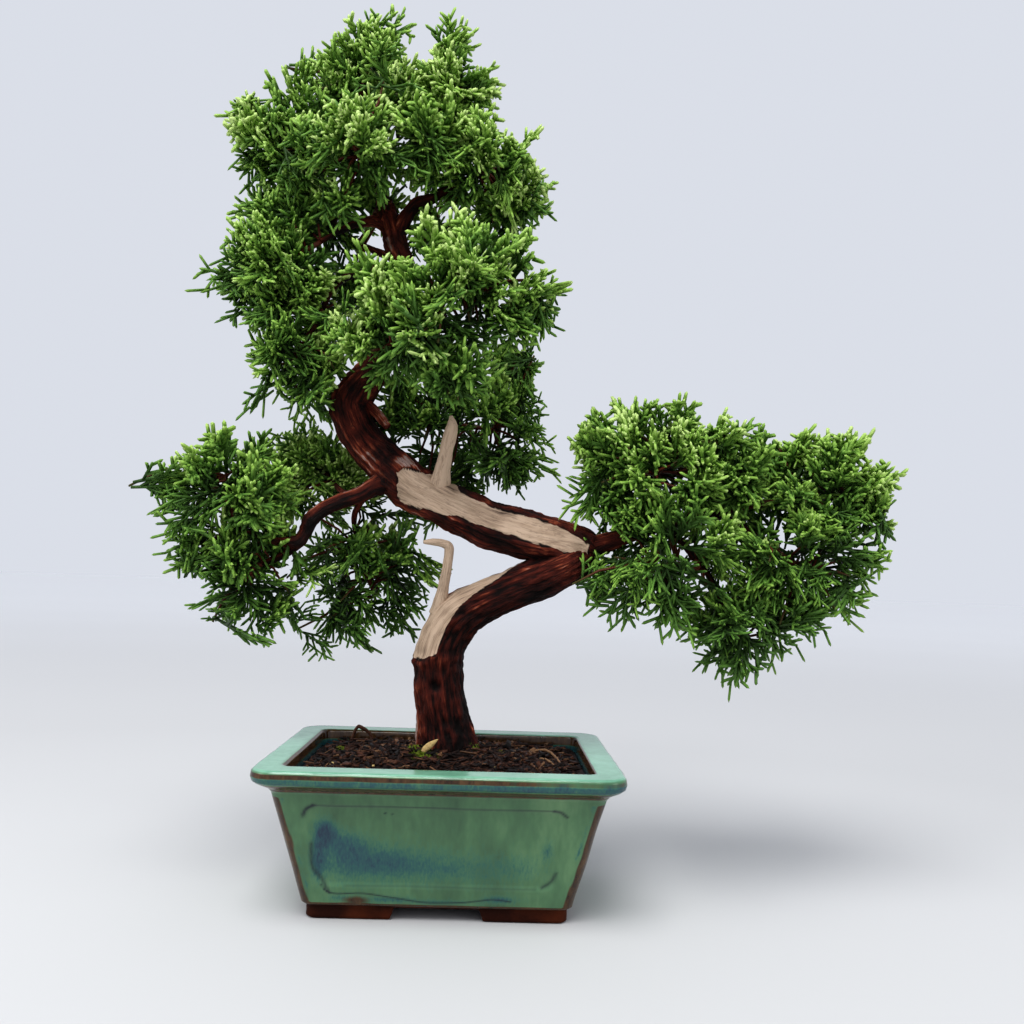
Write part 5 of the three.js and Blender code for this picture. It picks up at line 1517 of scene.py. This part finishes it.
    def add_roots(self, skin: Skin) -> None:
        """Adds what stands out on the soil: the loop of a thin twig, a pale root and a few white grains."""
        loop = ((-48.9, 37, 56, 1.9), (-48.1, 37, 62.1, 1.7), (-46.1, 37, 66.6, 1.6), (-43.4, 37.5, 66.1, 1.9),
                (-39.9, 38, 63.2, 1.5), (-36.7, 38.5, 57, 1.2))
        root = ((36.3, 12.6, 58.8, 0.8), (40.7, 16.4, 60.8, 1.2), (46.6, 17, 61.6, 1.3), (50.5, 7.1, 60.8, 1.2),
                (53.1, -7.1, 58.8, 0.7))
        fine_root = ((41, 9, 59.4, 0.6), (46, 0, 60.6, 0.9), (50, -12, 59.6, 0.7), (53, -20, 58, 0.4))
        for controls, tint in ((loop, 0.34), (root, 0.5), (fine_root, 0.56)):
            limb = Limb(controls, row_length=0.9, columns=8)
            skin.sleeve(limb.rings(0.16 * waviness(limb.rings(), 3.0, 75)), tint=tint, moss=0.0)
        flake = Limb(((-10.6, -5, 63.6, 1.4), (-9.6, -4.6, 64.4, 3.0), (-7.4, -4.2, 66.2, 3.4), (-5, -4, 68, 1.9),
                      (-3.6, -4, 69.2, 0.3)), row_length=0.6, columns=10)
        middle = flake.centre[:, None]
        skin.sleeve(middle + (flake.rings() - middle) * (0.8, 0.35, 1.0), tint=0.72, moss=0.0)
        grains = ((-47.9, -20.5, 1.4), (-46.5, -10.3, 1.0), (0.5, -6.4, 0.8), (22, -20, 0.6), (-30, -22, 0.7))
        for x, y, size in grains:
            z = float(self.height(np.array(x), np.array(y)))
            grain = Limb(((x - size, y, z, 0.3), (x - size / 2, y, z + 0.2, 1.6 * size),
                          (x + size / 2, y, z + 0.3, 1.5 * size), (x + size, y, z, 0.2)), row_length=0.4, columns=8)
            skin.sleeve(grain.rings(), tint=0.9, moss=0.0)

    def build(self) -> bpy.types.Object:
        """Builds the soil and all that lies on it as one piece."""
        random = np.random.default_rng(77)
        skin = Skin()
        self.add_ground(skin)
        self.add_chips(skin, random)
        self.add_strands(skin, random)
        self.add_moss(skin, random)
        self.add_roots(skin)
        return skin.piece("potting_soil", BarkMix().material(), "soil", ("soil",))


@dataclass
class Studio:
    """A pale floor, soft lights, and the camera at the photograph's place."""

    camera_place: tuple[float, float, float] = (17.5, -397.6, 140.3)
    yaw: float = -1.38
    pitch: float = 2.24
    roll: float = -1.92
    focal_pixels: float = 861.9
    centre_row: float = 550.5
    image_size: int = 1024
    # Metres from under the lamps and the floor's colour there, which pales as their light falls off
    floor_tones: tuple[tuple[float, str], ...] = (
        (1.0, "#c2c2c2"), (1.4, "#cccccc"), (1.75, "#d6d6d6"), (2.15, "#e2e2e2"), (2.85, "#f0f0f0"), (3.6, "#f8f8f8"),
        (4.7, "#fdfdfd"), (7.8, "#ffffff"))
    lamps_middle: tuple[float, float, float] = (-0.15, -0.6, 0.0)
    floor_reach: float = 8.0
    world_colour: str = "#e1e5ee"

    def add_camera(self) -> None:
        """Adds the camera, turned by yaw, pitch and roll from looking along +Y."""
        data = bpy.data.cameras.new("view")
        data.sensor_width = 36
        data.lens = self.focal_pixels / self.image_size * data.sensor_width
        data.shift_y = (self.centre_row - self.image_size / 2) / self.image_size
        data.clip_start = 0.01
        camera = new_object("view", data)
        turns = ((self.yaw, "Z"), (self.pitch, "X"), (self.roll, "Y"), (90, "X"))
        turned = Matrix.Identity(4)
        for angle, axis in turns:
            turned = turned @ Matrix.Rotation(math.radians(angle), 4, axis)
        place = to_frame(np.array(self.camera_place))
        camera.matrix_world = Matrix.Translation(Vector(place)) @ turned
        bpy.context.scene.camera = camera

    def add_floor(self) -> None:
        """Adds the floor as a wide disc just under the feet, which pales outwards until it meets the backdrop."""
        turn = np.linspace(0, 2 * math.pi, 96, endpoint=False)
        rings = np.array([0.4, 1.2, 4.0, 30.0])[:, None, None]
        circle = np.stack([np.cos(turn), np.sin(turn)], -1)[None] * rings
        points = np.concatenate([circle, np.full((*circle.shape[:2], 1), -0.0002)], -1).reshape(-1, 3)
        mesh = bpy.data.meshes.new("floor")
        faces = grid_faces(4, 96).tolist() + [list(range(96))]
        mesh.from_pydata(points, [], faces)
        coat = Coat("pale_floor")
        place = coat.node("TexCoord", output="Object")
        away = coat.node("VectorMath", {0: place, 1: self.lamps_middle}, output="Value", operation="DISTANCE")
        share = coat.node("Math", {0: away, 1: self.floor_reach}, operation="DIVIDE")
        ramp = tuple((metres / self.floor_reach, tone) for metres, tone in self.floor_tones)
        shade = coat.node("ValToRGB", {"Fac": share}, ramp)
        mesh.materials.append(coat.close({"Base Color": shade, "Roughness": 0.8, "Specular IOR Level": 0.1}))
        floor = new_object("floor", mesh)

    def add_light(self, name: str, place: tuple[float, float, float], size: float, power: float) -> None:
        """Adds a square soft light that faces the tree's middle."""
        data = bpy.data.lights.new(name, "AREA")
        data.size = size
        data.energy = power
        light = new_object(name, data)
        light.location = place
        aim = Vector((0, 0, 0.2)) - Vector(place)
        light.rotation_euler = aim.to_track_quat("-Z", "Y").to_euler()

    def build(self) -> None:
        """Builds the camera, floor, lights and surrounding light."""
        self.add_camera()
        self.add_floor()
        self.add_light("overhead", (-0.25, -0.7, 1.5), 0.9, 20)
        self.add_light("left_window", (-1.5, -0.6, 0.9), 0.8, 6)
        self.add_light("right_window", (1.5, -0.9, 0.7), 0.8, 4)
        world = bpy.data.worlds.new("soft_daylight")
        world.use_nodes = True
        sky = world.node_tree.nodes["Background"]
        sky.inputs["Color"].default_value = linear(self.world_colour)
        sky.inputs["Strength"].default_value = 0.8
        bpy.context.scene.world = world
        bpy.context.scene.view_settings.view_transform = "Standard"
        bpy.context.scene.view_settings.look = "Medium High Contrast"


def dress_nets() -> None:
    """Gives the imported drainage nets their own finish."""
    material = MouldedNet().material()
    for name in ("drain_net_left", "drain_net_right"):
        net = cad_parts[name]
        net.data.materials.clear()
        net.data.materials.append(material)


def main() -> None:
    """Builds the studio and then every piece of the tree, in order from the pot upwards."""
    logging.basicConfig(level=logging.INFO, format="%(message)s")
    Studio().build()
    Pot().build()
    Soil().build()
    dress_nets()
    wood = Wood()
    wood.build()
    Foliage().build(wood)
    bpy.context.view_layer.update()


if __name__ == "__main__":
    main()
